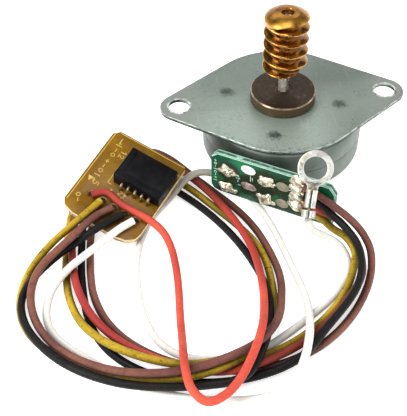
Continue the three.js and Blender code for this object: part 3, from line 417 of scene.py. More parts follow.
# ------------------------------------------------------------------ leads
LEAD_D = 1.45
ROUTES = {
  "orange": [
    [0.61, -23.06, 6.60], [3.40, -24.76, 5.86], [6.37, -26.27, 4.96], [8.38, -28.31, 3.30], [9.52, -31.25, 2.36],
    [9.61, -34.50, 2.07], [8.87, -37.67, 2.29], [7.34, -40.59, 2.60], [5.14, -43.10, 2.44], [2.84, -45.51, 2.10],
    [0.34, -47.72, 1.82], [-2.35, -49.74, 1.72], [-5.16, -51.56, 1.86], [-8.07, -53.14, 2.18], [-11.18, -54.38, 2.42],
    [-14.44, -55.22, 2.46], [-17.73, -55.57, 2.19], [-21.02, -55.16, 1.95], [-24.22, -54.18, 2.12], [-27.33, -52.92, 2.13],
    [-30.31, -51.36, 2.06], [-33.08, -49.51, 1.97], [-35.66, -47.36, 1.95], [-37.98, -44.93, 2.07], [-39.96, -42.20, 2.33],
    [-41.47, -39.22, 2.49], [-42.54, -36.07, 2.34], [-43.27, -32.81, 2.02], [-43.69, -29.50, 1.80], [-43.83, -26.16, 1.93],
    [-43.75, -22.82, 2.02], [-43.37, -19.51, 2.17], [-42.73, -16.26, 2.45], [-41.81, -13.10, 2.89], [-40.59, -10.05, 3.51],
    [-38.79, -7.28, 3.84], [-36.12, -5.31, 3.91], [-32.95, -4.29, 3.69], [-29.68, -3.81, 3.17], [-26.39, -4.14, 2.63],
    [-23.29, -5.39, 2.18], [-20.69, -7.46, 1.91], [-18.62, -10.08, 1.88], [-16.84, -12.91, 2.01], [-15.35, -15.87, 2.32],
    [-13.90, -18.87, 2.47], [-12.52, -21.92, 2.43], [-11.31, -25.05, 2.35], [-10.41, -28.30, 2.38], [-9.88, -31.61, 2.59],
    [-9.65, -34.94, 2.94], [-9.67, -38.27, 3.39], [-9.90, -41.56, 4.02], [-10.33, -44.76, 4.90], [-10.92, -47.87, 5.97],
    [-11.72, -50.95, 6.98], [-12.96, -54.07, 7.14], [-14.57, -57.01, 6.68], [-16.51, -59.75, 6.08], [-19.03, -61.99, 5.56],
    [-22.15, -62.90, 5.30], [-24.37, -60.63, 5.86], [-25.05, -57.37, 6.40], [-25.10, -54.06, 5.97], [-25.02, -50.99, 4.69],
    [-24.97, -47.96, 3.34], [-24.91, -44.80, 2.33], [-24.80, -41.49, 1.76], [-24.66, -38.12, 1.59], [-24.61, -34.77, 1.66],
    [-24.75, -31.44, 2.11], [-25.21, -28.17, 2.93], [-26.32, -25.17, 3.95], [-28.46, -22.79, 4.94], [-31.29, -20.93, 5.76],
    [-34.12, -18.98, 6.61], [-36.63, -16.65, 7.55], [-39.43, -17.04, 7.78],
  ],
  "yellow": [
    [0.57, -22.92, 4.32], [3.44, -24.76, 4.06], [5.47, -27.50, 3.70], [7.58, -30.29, 3.77], [8.42, -33.55, 3.37],
    [7.44, -36.74, 2.77], [5.96, -39.73, 1.97], [4.02, -42.42, 1.33], [1.69, -44.84, 0.97], [-0.93, -47.01, 0.79],
    [-3.72, -48.96, 0.79], [-6.68, -50.66, 0.89], [-9.78, -52.08, 1.10], [-13.00, -53.16, 1.42], [-16.28, -53.70, 2.12],
    [-19.49, -54.13, 3.27], [-22.84, -54.73, 3.79], [-26.21, -54.28, 3.71], [-29.41, -53.10, 3.43], [-32.46, -51.56, 3.10],
    [-35.33, -49.76, 2.77], [-38.06, -47.69, 2.58], [-40.45, -45.25, 2.29], [-42.27, -42.45, 1.76], [-43.56, -39.34, 1.23],
    [-44.44, -36.02, 0.96], [-44.90, -32.61, 0.83], [-45.06, -29.20, 0.79], [-45.04, -25.80, 0.79], [-44.85, -22.39, 0.79],
    [-44.60, -18.98, 0.79], [-44.13, -15.60, 0.79], [-43.28, -12.29, 0.79], [-41.95, -9.14, 0.79], [-40.02, -6.28, 0.79],
    [-37.39, -4.06, 0.79], [-34.19, -3.02, 0.79], [-30.85, -3.44, 0.79], [-27.68, -4.67, 0.79], [-24.73, -6.44, 0.79],
    [-22.11, -8.66, 0.79], [-19.79, -11.20, 0.79], [-17.72, -13.91, 0.79], [-15.71, -16.66, 0.79], [-13.64, -19.41, 0.79],
    [-11.69, -22.21, 0.79], [-10.00, -25.16, 0.87], [-8.71, -28.29, 1.07], [-7.94, -31.61, 1.20], [-7.63, -35.02, 1.04],
    [-7.58, -38.48, 0.79], [-7.96, -41.89, 0.79], [-8.94, -45.15, 0.97], [-10.43, -48.15, 1.51], [-12.24, -50.90, 2.48],
    [-14.40, -53.36, 3.46], [-17.26, -55.18, 3.92], [-20.51, -56.17, 3.61], [-23.86, -56.44, 3.00], [-27.26, -56.39, 2.58],
    [-30.65, -56.10, 2.49], [-34.02, -55.45, 2.44], [-37.26, -54.30, 2.12], [-40.22, -52.69, 1.54], [-43.06, -50.89, 1.02],
    [-45.87, -48.95, 0.79], [-48.47, -46.75, 0.79], [-50.71, -44.20, 0.79], [-52.37, -41.23, 0.79], [-53.21, -37.91, 0.81],
    [-53.14, -34.51, 1.07], [-52.17, -31.34, 1.73], [-50.48, -28.57, 2.67], [-48.21, -26.29, 3.83], [-45.59, -24.44, 5.06],
    [-42.87, -22.71, 6.18], [-40.28, -20.54, 6.64], [-37.71, -18.40, 7.26],
  ],
  "brown": [
    [0.34, -22.78, 10.77], [3.01, -24.82, 9.95], [5.62, -26.62, 8.60], [8.14, -28.32, 6.97], [10.21, -30.36, 5.18],
    [11.31, -33.10, 3.48], [11.03, -36.16, 2.04], [9.85, -39.21, 1.18], [8.13, -42.13, 0.85], [6.12, -44.89, 0.79],
    [3.80, -47.44, 0.79], [1.19, -49.70, 0.79], [-1.69, -51.61, 0.79], [-4.81, -53.09, 0.79], [-8.10, -54.21, 0.79],
    [-11.54, -54.81, 0.79], [-15.07, -54.89, 0.79], [-18.54, -54.46, 0.79], [-21.92, -53.70, 0.79], [-25.22, -52.69, 0.79],
    [-28.34, -51.22, 0.79], [-31.26, -49.36, 0.79], [-33.91, -47.15, 0.79], [-36.21, -44.57, 0.79], [-38.05, -41.64, 0.79],
    [-39.36, -38.45, 0.79], [-40.18, -35.09, 0.79], [-40.49, -31.66, 0.79], [-40.57, -28.19, 0.80], [-40.51, -24.72, 0.86],
    [-40.34, -21.27, 0.79], [-39.95, -17.84, 0.79], [-39.43, -14.41, 0.79], [-38.66, -10.99, 0.79], [-37.51, -7.68, 0.79],
    [-35.57, -5.01, 1.82], [-32.99, -2.83, 2.65], [-30.02, -1.04, 2.75], [-26.67, -0.68, 2.42], [-23.74, -2.18, 1.69],
    [-21.35, -4.56, 1.09], [-19.20, -7.25, 0.79], [-17.10, -10.00, 0.79], [-15.04, -12.80, 0.79], [-12.94, -15.60, 0.79],
    [-11.01, -18.48, 0.79], [-9.36, -21.51, 0.79], [-8.07, -24.70, 0.80], [-7.07, -28.03, 0.79], [-6.32, -31.43, 0.79],
    [-5.91, -34.90, 1.05], [-6.07, -38.35, 1.60], [-6.66, -41.68, 2.35], [-7.41, -44.90, 3.32], [-8.56, -47.96, 4.39],
    [-10.43, -50.73, 5.19], [-13.06, -52.93, 5.45], [-16.14, -54.53, 5.64], [-19.43, -55.54, 5.43], [-22.84, -56.02, 4.86],
    [-26.27, -56.11, 4.36], [-29.70, -56.00, 4.20], [-33.12, -55.55, 4.17], [-36.44, -54.59, 3.94], [-39.49, -53.06, 3.39],
    [-42.36, -51.18, 2.84], [-45.01, -49.00, 2.45], [-47.36, -46.47, 2.26], [-49.25, -43.57, 2.31], [-50.52, -40.38, 2.59],
    [-50.99, -36.99, 3.13], [-50.42, -33.68, 3.80], [-48.82, -30.73, 4.40], [-46.42, -28.34, 5.04], [-43.81, -26.18, 5.74],
    [-41.28, -23.82, 6.26], [-38.76, -21.40, 6.41], [-35.66, -19.83, 6.59],
  ],
  "black": [
    [0.48, -22.89, 8.62], [3.19, -24.85, 7.97], [5.43, -27.06, 6.65], [7.44, -29.71, 5.72], [8.70, -32.80, 5.12],
    [8.83, -36.12, 4.68], [8.07, -39.35, 4.42], [6.56, -42.36, 4.16], [4.42, -45.00, 3.77], [2.01, -47.38, 3.40],
    [-0.44, -49.72, 3.00], [-2.81, -52.13, 2.59], [-5.43, -54.27, 2.26], [-8.51, -55.65, 1.91], [-11.84, -56.40, 1.49],
    [-15.22, -56.76, 1.12], [-18.60, -56.80, 0.88], [-21.98, -56.54, 0.79], [-25.33, -55.93, 0.79], [-28.58, -54.89, 0.79],
    [-31.65, -53.43, 0.79], [-34.47, -51.52, 0.79], [-36.95, -49.18, 0.79], [-38.97, -46.39, 0.79], [-40.39, -43.28, 0.79],
    [-41.30, -39.99, 0.79], [-41.79, -36.62, 0.79], [-42.09, -33.24, 0.79], [-42.25, -29.88, 0.79], [-42.23, -26.50, 0.79],
    [-42.12, -23.09, 0.79], [-41.94, -19.68, 0.82], [-41.64, -16.29, 0.95], [-40.97, -12.96, 1.43], [-39.60, -9.91, 2.08],
    [-37.18, -7.58, 2.69], [-34.01, -6.27, 2.75], [-30.63, -6.22, 2.24], [-27.56, -7.49, 1.53], [-24.81, -9.45, 1.01],
    [-22.33, -11.75, 0.81], [-20.05, -14.26, 0.79], [-17.95, -16.92, 0.79], [-16.00, -19.72, 0.79], [-14.20, -22.66, 0.79],
    [-12.62, -25.68, 0.79], [-11.27, -28.78, 0.83], [-10.16, -31.99, 0.96], [-9.35, -35.29, 1.28], [-8.91, -38.62, 1.85],
    [-8.80, -42.02, 2.30], [-9.17, -45.42, 2.73], [-10.02, -48.70, 3.23], [-11.24, -51.83, 3.65], [-12.73, -54.82, 4.14],
    [-14.81, -57.42, 3.74], [-18.02, -58.46, 3.37], [-21.44, -58.52, 3.16], [-24.86, -58.34, 3.02], [-28.31, -58.05, 3.01],
    [-31.69, -57.58, 3.09], [-34.99, -56.79, 3.13], [-38.17, -55.55, 3.02], [-41.20, -53.98, 2.88], [-44.00, -52.08, 2.71],
    [-46.57, -49.85, 2.56], [-48.83, -47.31, 2.42], [-50.78, -44.49, 2.44], [-52.19, -41.38, 2.46], [-52.74, -38.06, 2.43],
    [-52.16, -34.75, 2.44], [-50.54, -31.79, 2.48], [-48.26, -29.32, 2.79], [-45.60, -27.28, 3.40], [-42.68, -25.73, 4.20],
    [-39.72, -24.47, 5.36], [-36.81, -22.69, 5.67], [-33.75, -21.24, 5.97],
  ],
  "white": [
    [-0.26, -30.12, 9.52], [1.01, -30.33, 6.73], [3.44, -30.50, 4.98], [5.85, -31.64, 3.51], [7.00, -34.00, 2.07],
    [6.44, -36.83, 1.16], [4.70, -39.31, 0.79], [2.59, -41.55, 0.79], [0.21, -43.52, 0.79], [-2.27, -45.36, 0.79],
    [-4.78, -47.15, 0.79], [-7.35, -48.85, 0.79], [-10.02, -50.38, 0.79], [-12.88, -51.47, 0.79], [-15.88, -52.09, 0.79],
    [-18.95, -52.28, 0.79], [-22.03, -51.92, 0.79], [-25.00, -50.95, 0.79], [-27.53, -49.20, 0.79], [-29.39, -46.79, 0.79],
    [-30.62, -43.98, 0.79], [-31.40, -40.96, 0.79], [-31.83, -37.89, 0.79], [-32.03, -34.81, 0.79], [-32.04, -31.73, 0.79],
    [-31.83, -28.64, 0.79], [-31.33, -25.58, 0.79], [-30.47, -22.65, 0.79], [-29.27, -19.86, 0.92], [-27.62, -17.31, 1.21],
    [-25.55, -15.10, 1.69], [-23.45, -12.98, 2.36], [-21.39, -10.89, 3.20], [-18.80, -9.34, 3.62], [-15.91, -8.69, 2.88],
    [-13.13, -9.40, 1.84], [-10.78, -11.24, 1.19], [-8.97, -13.67, 0.88], [-7.57, -16.38, 0.79], [-6.44, -19.25, 0.79],
    [-5.53, -22.21, 0.79], [-4.79, -25.19, 0.79], [-4.19, -28.18, 0.79], [-3.63, -31.21, 0.79], [-3.09, -34.24, 0.82],
    [-2.58, -37.29, 1.00], [-2.26, -40.34, 1.37], [-2.24, -43.34, 1.99], [-2.52, -46.28, 2.77], [-3.04, -49.20, 3.55],
    [-3.82, -52.12, 4.19], [-4.89, -55.00, 3.92], [-6.37, -57.57, 3.07], [-8.53, -59.58, 2.15], [-11.34, -60.58, 1.49],
    [-14.39, -60.73, 1.09], [-17.45, -60.49, 0.87], [-20.49, -60.09, 0.79], [-23.50, -59.51, 0.79], [-26.46, -58.70, 0.79],
    [-29.32, -57.64, 0.79], [-32.08, -56.30, 0.79], [-34.66, -54.66, 0.79], [-37.22, -52.96, 0.79], [-39.65, -51.08, 0.79],
    [-42.03, -49.11, 0.79], [-44.36, -47.09, 0.79], [-46.45, -44.82, 0.80], [-47.94, -42.13, 1.04], [-48.38, -39.14, 1.44],
    [-47.78, -36.19, 2.02], [-46.31, -33.57, 2.76], [-44.24, -31.38, 3.47], [-41.87, -29.45, 3.88], [-39.45, -27.62, 4.24],
    [-37.00, -25.82, 4.71], [-34.51, -24.04, 5.06], [-31.84, -22.59, 5.38],
  ],
}


def spline_points(pts, sub=5):
    """Centripetal Catmull-Rom through the route's points."""
    P = [Vector(p) for p in pts]
    P = [P[0] * 2 - P[1]] + P + [P[-1] * 2 - P[-2]]
    out = []
    for i in range(1, len(P) - 2):
        p0, p1, p2, p3 = P[i - 1], P[i], P[i + 1], P[i + 2]
        t0 = 0.0
        t1 = t0 + math.sqrt((p1 - p0).length)
        t2 = t1 + math.sqrt((p2 - p1).length)
        t3 = t2 + math.sqrt((p3 - p2).length)
        for k in range(sub):
            t = t1 + (t2 - t1) * k / sub
            a1 = p0 * ((t1 - t) / (t1 - t0)) + p1 * ((t - t0) / (t1 - t0))
            a2 = p1 * ((t2 - t) / (t2 - t1)) + p2 * ((t - t1) / (t2 - t1))
            a3 = p2 * ((t3 - t) / (t3 - t2)) + p3 * ((t - t2) / (t3 - t2))
            b1 = a1 * ((t2 - t) / (t2 - t0)) + a2 * ((t - t0) / (t2 - t0))
            b2 = a2 * ((t3 - t) / (t3 - t1)) + a3 * ((t - t1) / (t3 - t1))
            out.append(b1 * ((t2 - t) / (t2 - t1)) + b2 * ((t - t1) / (t2 - t1)))
    out.append(P[-2])
    return out


def lead(color):
    pts = spline_points(ROUTES[color])
    cu = bpy.data.curves.new("wire_" + color, "CURVE")
    cu.dimensions = "3D"
    cu.bevel_depth = LEAD_D / 2 * MM
    cu.bevel_resolution = 5
    cu.use_fill_caps = True
    sp = cu.splines.new("POLY")
    sp.points.add(len(pts) - 1)
    for p, q in zip(sp.points, pts):
        p.co = (q.x * MM, q.y * MM, q.z * MM, 1)
    sp.use_smooth = True
    ob = bpy.data.objects.new("wire_" + color, cu)
    bpy.context.scene.collection.objects.link(ob)
    cu.materials.append(MAT[color])
    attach(ob, "stator")
    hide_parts("lead_" + color)
    length = sum((pts[i + 1] - pts[i]).length for i in range(len(pts) - 1)) * MM
    return ob, length, tuple(pts[0] * MM)


WIRES = {c: lead(c) for c in ("orange", "yellow", "brown", "black", "white")}

# ------------------------------------------------------------------ more materials
def srgb(r, g, b):
    f = lambda c: (c / 255 / 12.92) if c / 255 <= 0.04045 else ((c / 255 + 0.055) / 1.055) ** 2.4
    return (f(r), f(g), f(b))


def radial_xy(m):
    x, y, _ = m.xyz()
    c = m.n("ShaderNodeCombineXYZ")
    m.put(c.inputs[0], x)
    m.put(c.inputs[1], y)
    l = m.n("ShaderNodeVectorMath", operation="LENGTH")
    m.put(l.inputs[0], c.outputs[0])
    return l.outputs["Value"]


def flange_material():
    m = Mat("zinc_flange", srgb(150, 165, 158), 0.42, 0.45)
    big = m.noise(0.045, 3.0, 0.5)
    fine = m.noise(1.6, 6.0, 0.65)
    grain = m.noise(0.9, 5.0, 0.6, vec=m.mapping(scale=(0.35, 3.2, 1.0), rot=(0, 0, math.radians(8))))
    col = m.mix(m.step(big, 0.35, 0.65), srgb(135, 148, 137), srgb(149, 161, 151))
    col = m.mix(m.step(fine, 0.35, 0.7, 0.0, 0.5), col, srgb(127, 140, 130))
    col = m.mix(m.step(grain, 0.3, 0.75, 0.0, 0.3), col, srgb(160, 171, 162))
    # greyer towards the ears
    px = m.xyz()[0]
    ear = m.step(m.math("ABSOLUTE", px), 13.5 * MM, 21.5 * MM)
    col = m.mix(m.math("MULTIPLY", ear, 0.72), col, srgb(126, 127, 122))
    # a darker, blotchy zone behind the collar, towards +x
    zone = m.near((15.0, 9.0, 13.7), 4.0, 10.5, squash=(0.8, 1.5, 1.0))
    zone = m.math("MULTIPLY", zone, m.step(m.noise(0.12, 2.0, loc=2.0), 0.3, 0.55))
    col = m.mix(m.math("MULTIPLY", zone, 0.75), col, srgb(98, 104, 99))
    # painted light and shade: the front of the plate lighter, the back half and the right side darker, as the lamps
    # fall
    front = m.step(m.xyz()[1], -3.0 * MM, -15.0 * MM)
    col = m.mix(m.math("MULTIPLY", front, 0.35), col, srgb(166, 178, 169))
    back_half = m.step(m.xyz()[1], -7.0 * MM, 7.0 * MM)
    side = m.step(px, 2.0 * MM, 12.0 * MM)
    shade_ = m.math("MULTIPLY", m.math("MAXIMUM", back_half, m.math("MULTIPLY", side, 0.7)), m.math("SUBTRACT", 1.0, ear))
    col = m.mix(m.math("MULTIPLY", shade_, 0.85), col, srgb(108, 120, 111))
    right_ = m.math("MULTIPLY", m.step(px, 4.0 * MM, 14.0 * MM), m.math("SUBTRACT", 1.0, ear))
    col = m.mix(m.math("MULTIPLY", right_, 0.35), col, srgb(112, 122, 113))
    # four weld dimples
    mask = None
    for k, ang in enumerate((163.5, -16.5, -106.5, 73.5)):
        a = math.radians(ang)
        d = m.near((11.5 * math.cos(a), 11.5 * math.sin(a), 13.7), 0.25, 2.45, squash=(1.0, 1.1, 1.0))
        mask = d if mask is None else m.math("MAXIMUM", mask, d)
    torn = m.step(m.math("ADD", mask, m.math("MULTIPLY", m.math("SUBTRACT", m.noise(1.3, 6.0, 0.75, loc=5.0), 0.5), 2.2)), 0.12, 1.05)
    torn = m.math("MULTIPLY", torn, m.step(mask, 0.0, 0.1))
    col = m.mix(m.math("MULTIPLY", torn, 0.92), col, srgb(56, 66, 60))
    # grime specks, denser near the front edge
    specks = m.step(m.noise(2.2, 4.0, 0.7, loc=8.0), 0.56, 0.66)
    where = m.step(m.noise(0.16, 3.0, 0.5, loc=4.0), 0.46, 0.66)
    front = m.step(m.xyz()[1], -9.0 * MM, -16.0 * MM)
    near_front = m.math("MAXIMUM", where, m.math("MULTIPLY", front, 0.7))
    col = m.mix(m.math("MULTIPLY", m.math("MULTIPLY", specks, near_front), 0.85), col, srgb(54, 63, 58))
    # worn, dirty outer edge
    rimdirt = m.math("MULTIPLY", m.step(m.noise(1.1, 4.0, 0.65, loc=11.0), 0.46, 0.6), m.step(radial_xy(m), 14.6 * MM, 16.2 * MM))
    rimdirt = m.math("MULTIPLY", rimdirt, m.math("SUBTRACT", 1.0, m.step(m.math("ABSOLUTE", px), 11.0 * MM, 16.0 * MM, 0.0, 0.85)))
    col = m.mix(m.math("MULTIPLY", rimdirt, 0.45), col, srgb(84, 92, 88))
    # faint scuffs
    scuff = m.step(m.noise(0.30, 2.0, 0.4, vec=m.mapping(scale=(4.5, 0.35, 1.0), rot=(0, 0, math.radians(-35)))), 0.66, 0.76)
    col = m.mix(m.math("MULTIPLY", scuff, 0.14), col, srgb(186, 196, 190))
    m.set(color=col, rough=m.step(fine, 0.3, 0.7, 0.36, 0.52))
    m.bump(m.noise(3.0, 4.0, 0.6), 0.10, 0.03)
    m.bump(m.math("MULTIPLY", torn, -1.0), 0.7, 0.15)
    return m.m


def sheared_material():
    m = Mat("zinc_sheared_edge", srgb(110, 118, 114), 0.45, 0.6)
    z = m.xyz()[2]
    band = m.step(z, 13.1 * MM, 13.45 * MM)
    low = m.mix(m.step(m.noise(1.2, 4.0, vec=m.mapping(scale=(3, 3, 0.3))), 0.35, 0.65), srgb(46, 52, 48), srgb(84, 92, 88))
    col = m.mix(m.math("MULTIPLY", band, m.step(m.noise(0.7, 3.0, loc=2.0), 0.35, 0.6)), low, srgb(150, 160, 154))
    m.set(color=col, rough=m.step(m.noise(1.0, 3.0), 0.3, 0.7, 0.35, 0.55))
    m.bump(m.noise(1.6, 4.0, vec=m.mapping(scale=(3, 3, 0.25))), 0.3, 0.06)
    return m.m


# painted highlight: a brighter zinc for the flange's rounded top edges and the ear-hole rims
def edge_highlight_material():
    m = Mat("zinc_edge_highlight", srgb(180, 190, 184), 0.3, 0.7)
    m.set(color=m.mix(m.step(m.noise(0.9, 3.0), 0.35, 0.7), srgb(190, 200, 194), srgb(96, 106, 100)))
    m.bump(m.noise(2.0, 3.0), 0.2, 0.03)
    return m.m


def can_material(name, lo, hi, metal=0.75, rough=0.32):
    m = Mat(name, hi, rough, metal)
    t = m.noise(0.12, 4.0, 0.55)
    col = m.mix(m.step(t, 0.35, 0.65), lo, hi)
    spots = m.step(m.noise(1.8, 5.0, 0.7, loc=1.0), 0.62, 0.72)
    col = m.mix(m.math("MULTIPLY", spots, 0.25), col, tuple(c * 0.4 for c in lo))
    # painted shadow: the left, lower front of the can darker, as under the flange
    left = m.step(m.xyz()[0], -5.0 * MM, -13.5 * MM)
    low_front = m.step(m.xyz()[1], 3.0 * MM, -8.0 * MM)
    col = m.mix(m.math("MULTIPLY", m.math("MULTIPLY", left, low_front), 0.75), col, tuple(c * 0.4 for c in lo))
    m.set(color=col, rough=m.step(m.noise(0.8, 4.0), 0.3, 0.7, rough - 0.05, rough + 0.08))
    m.bump(m.noise(2.2, 4.0, 0.6), 0.05, 0.03)
    m.bump(m.noise(0.2, 2.0), 0.08, 0.08)
    return m.m


def radial(m):
    """Distance from the shaft axis."""
    return radial_xy(m)


def collar_material(name, lo, hi, rough):
    m = Mat(name, lo, rough, 0.55)
    r = radial(m)
    rings = m.n("ShaderNodeTexNoise")
    rings.noise_dimensions = "1D"
    m.put(rings.inputs["W"], m.math("MULTIPLY", r, 4200.0))
    rings.inputs["Scale"].default_value = 1.0
    rings.inputs["Detail"].default_value = 3.0
    col = m.mix(m.step(rings.outputs["Fac"], 0.35, 0.65), lo, hi)
    pores = m.step(m.noise(4.5, 4.0, 0.7), 0.52, 0.66)
    col = m.mix(m.math("MULTIPLY", pores, 0.55), col, tuple(c * 0.4 for c in lo))
    dust = m.step(m.noise(0.5, 5.0, 0.6, loc=6.0), 0.55, 0.75)
    col = m.mix(m.math("MULTIPLY", dust, 0.25), col, srgb(150, 128, 112))
    m.set(color=col, rough=m.step(m.noise(1.4, 4.0), 0.3, 0.7, rough - 0.08, rough + 0.12))
    m.bump(rings.outputs["Fac"], 0.12, 0.02)
    m.bump(m.noise(5.0, 4.0, 0.7), 0.18, 0.02)
    return m.m


# partly edge wear, partly a painted highlight along the collar's front bevel
def rim_wear_and_highlight_material():
    m = Mat("collar_rim_wear_and_highlight", srgb(160, 136, 114), 0.3, 0.8)
    m.set(color=m.mix(m.step(m.noise(0.8, 4.0), 0.35, 0.7), srgb(164, 140, 118), srgb(96, 78, 62)))
    m.bump(m.noise(3.0, 3.0), 0.15, 0.02)
    return m.m


def steel_material(name, base, rough=0.2, streak=True):
    m = Mat(name, base, rough, 1.0)
    t = m.noise(1.3, 4.0, 0.6, vec=m.mapping(scale=(1.0, 1.0, 0.12) if streak else (1, 1, 1)))
    m.set(color=m.mix(m.step(t, 0.35, 0.7), base, tuple(c * 0.8 for c in base)), rough=m.step(m.noise(0.8, 3.0), 0.3, 0.7, rough - 0.03, rough + 0.06))
    m.bump(m.noise(1.5, 3.0, vec=m.mapping(scale=(1, 1, 3))), 0.04, 0.01)
    return m.m


def shaft_material():
    m = Mat("shaft_ground", srgb(206, 200, 192), 0.26, 0.62)
    t = m.noise(1.1, 3.0, 0.5, vec=m.mapping(scale=(1.6, 1.6, 0.08)))
    col = m.mix(m.step(t, 0.38, 0.62), srgb(132, 120, 108), srgb(226, 220, 210))
    m.set(color=col, rough=m.step(m.noise(0.8, 3.0), 0.3, 0.7, 0.2, 0.32))
    m.bump(m.noise(2.5, 3.0, vec=m.mapping(scale=(1.5, 1.5, 0.1))), 0.04, 0.01)
    return m.m


def brass_material():
    m = Mat("turned_brass", srgb(200, 152, 78), 0.2, 1.0)
    r = radial(m)
    # painted shade deeper in the thread grooves; painted highlight along the crests
    groove_shade = m.step(r, 3.3 * MM, 4.28 * MM)
    crest = m.step(r, 4.24 * MM, 4.36 * MM)
    high = m.step(m.xyz()[2], 32.5 * MM, 32.9 * MM)
    top_ = m.step(m.xyz()[2], 33.8 * MM, 33.95 * MM)
    turn = m.noise(1.5, 4.0, 0.6, vec=m.mapping(scale=(0.6, 0.6, 6.0)))
    col = m.mix(groove_shade, srgb(84, 52, 22), srgb(170, 122, 50))
    col = m.mix(m.math("MULTIPLY", crest, 0.35), col, srgb(232, 190, 140))
    col = m.mix(m.math("MULTIPLY", high, 0.7), col, srgb(196, 146, 62))
    col = m.mix(m.math("MULTIPLY", top_, 0.6), col, srgb(140, 96, 40))
    col = m.mix(m.step(turn, 0.42, 0.68, 0.0, 0.4), col, srgb(136, 84, 36))
    tarnish = m.step(m.noise(0.26, 4.0, 0.6, loc=2.0), 0.46, 0.66)
    col = m.mix(m.math("MULTIPLY", tarnish, 0.55), col, srgb(118, 70, 32))
    specks = m.step(m.noise(2.6, 4.0, 0.7, loc=4.0), 0.60, 0.70)
    col = m.mix(m.math("MULTIPLY", specks, 0.4), col, srgb(70, 40, 16))
    # painted shade: darker brown in the crevices of the thread
    col = m.mix(m.math("MULTIPLY", m.crevice_shade(1.2, 0.3, 0.9), 0.55), col, srgb(70, 34, 12))
    m.set(color=col, rough=m.math("ADD", m.step(m.noise(0.9, 4.0), 0.3, 0.7, 0.14, 0.28), m.math("MULTIPLY", high, 0.10)))
    m.bump(turn, 0.2, 0.03)
    m.bump(m.noise(3.5, 4.0, 0.6), 0.1, 0.02)
    return m.m


def pcb_green_material():
    m = Mat("solder_mask_green", srgb(24, 100, 62), 0.3, 0.0, spec=0.16)
    t = m.noise(0.22, 4.0, 0.55)
    col = m.mix(m.step(t, 0.35, 0.65), srgb(12, 74, 48), srgb(26, 108, 74))
    # copper areas under the mask read as darker, slightly raised shapes
    under = m.step(m.noise(0.18, 1.0, 0.3, loc=9.0), 0.47, 0.50)
    col = m.mix(m.math("MULTIPLY", under, 0.35), col, srgb(9, 50, 33))
    # painted light: the right end of the board lighter
    pr = TB @ (Vector((16.5, 6.5, 0)) * MM)
    col = m.mix(m.math("MULTIPLY", m.near(tuple(pr / MM), 1.5, 4.0), 0.6), col, srgb(36, 128, 96))
    pl = TB @ (Vector((-6.2, 5.0, 0)) * MM)
    col = m.mix(m.math("MULTIPLY", m.near(tuple(pl / MM), 1.0, 3.5), 0.4), col, srgb(40, 120, 80))
    # brown flux round the joints
    flux = None
    for s, z, r in ((-3.6, 7.6, 3.2), (-3.3, 3.2, 3.0), (0.4, 5.6, 3.4), (4.2, 7.9, 3.6), (4.4, 3.5, 3.4), (7.8, 8.0, 3.0), (7.9, 3.7, 3.0), (10.8, 7.4, 4.6), (10.9, 3.8, 3.8), (2.0, 8.6, 2.4), (13.6, 6.5, 3.2), (6.0, 5.6, 4.0), (9.4, 5.8, 4.2), (3.0, 5.2, 3.0)):
        p = TB @ (Vector((s, z, 0)) * MM)
        d = m.near(tuple(p / MM), r * 0.62, r * 1.05)
        flux = d if flux is None else m.math("MAXIMUM", flux, d)
    blot = m.step(m.noise(0.38, 5.0, 0.65, loc=3.0), 0.24, 0.46)
    fl = m.math("MULTIPLY", flux, blot)
    col = m.mix(m.math("MULTIPLY", fl, 0.92), col, srgb(24, 32, 15))
    crust = m.step(m.noise(2.2, 4.0, 0.7, loc=7.0), 0.58, 0.68)
    col = m.mix(m.math("MULTIPLY", m.math("MULTIPLY", crust, flux), 0.5), col, srgb(120, 108, 74))
    m.set(color=col, rough=m.math("ADD", 0.2, m.math("MULTIPLY", fl, 0.28)), coat=m.math("MULTIPLY", fl, 0.12), coat_rough=0.2)
    m.bump(under, 0.25, 0.05)
    m.bump(m.math("MULTIPLY", m.noise(1.3, 4.0), flux), 0.4, 0.08)
    return m.m


def pcb_edge_material(name, pale, dark, thick0, thick1, axis_vec):
    """Routed laminate edge: pale resin with a broken dark line along the middle."""
    m = Mat(name, pale, 0.6, 0.0)
    ply = m.noise(1.0, 5.0, 0.6)
    col = m.mix(m.step(ply, 0.35, 0.65), pale, tuple(c * 0.75 for c in pale))
    dot = m.n("ShaderNodeVectorMath", operation="DOT_PRODUCT")
    m.put(dot.inputs[0], m.co)
    dot.inputs[1].default_value = axis_vec
    mid = m.math("ABSOLUTE", m.math("SUBTRACT", dot.outputs["Value"], (thick0 + thick1) / 2 * MM))
    line = m.step(mid, 0.22 * MM, 0.36 * MM, 1.0, 0.0)
    broken = m.step(m.noise(0.6, 3.0, 0.6, loc=2.0), 0.34, 0.5)
    col = m.mix(m.math("MULTIPLY", m.math("MULTIPLY", line, broken), 0.9), col, dark)
    m.set(color=col, rough=0.6)
    m.bump(m.noise(2.5, 4.0, 0.6), 0.3, 0.05)
    return m.m


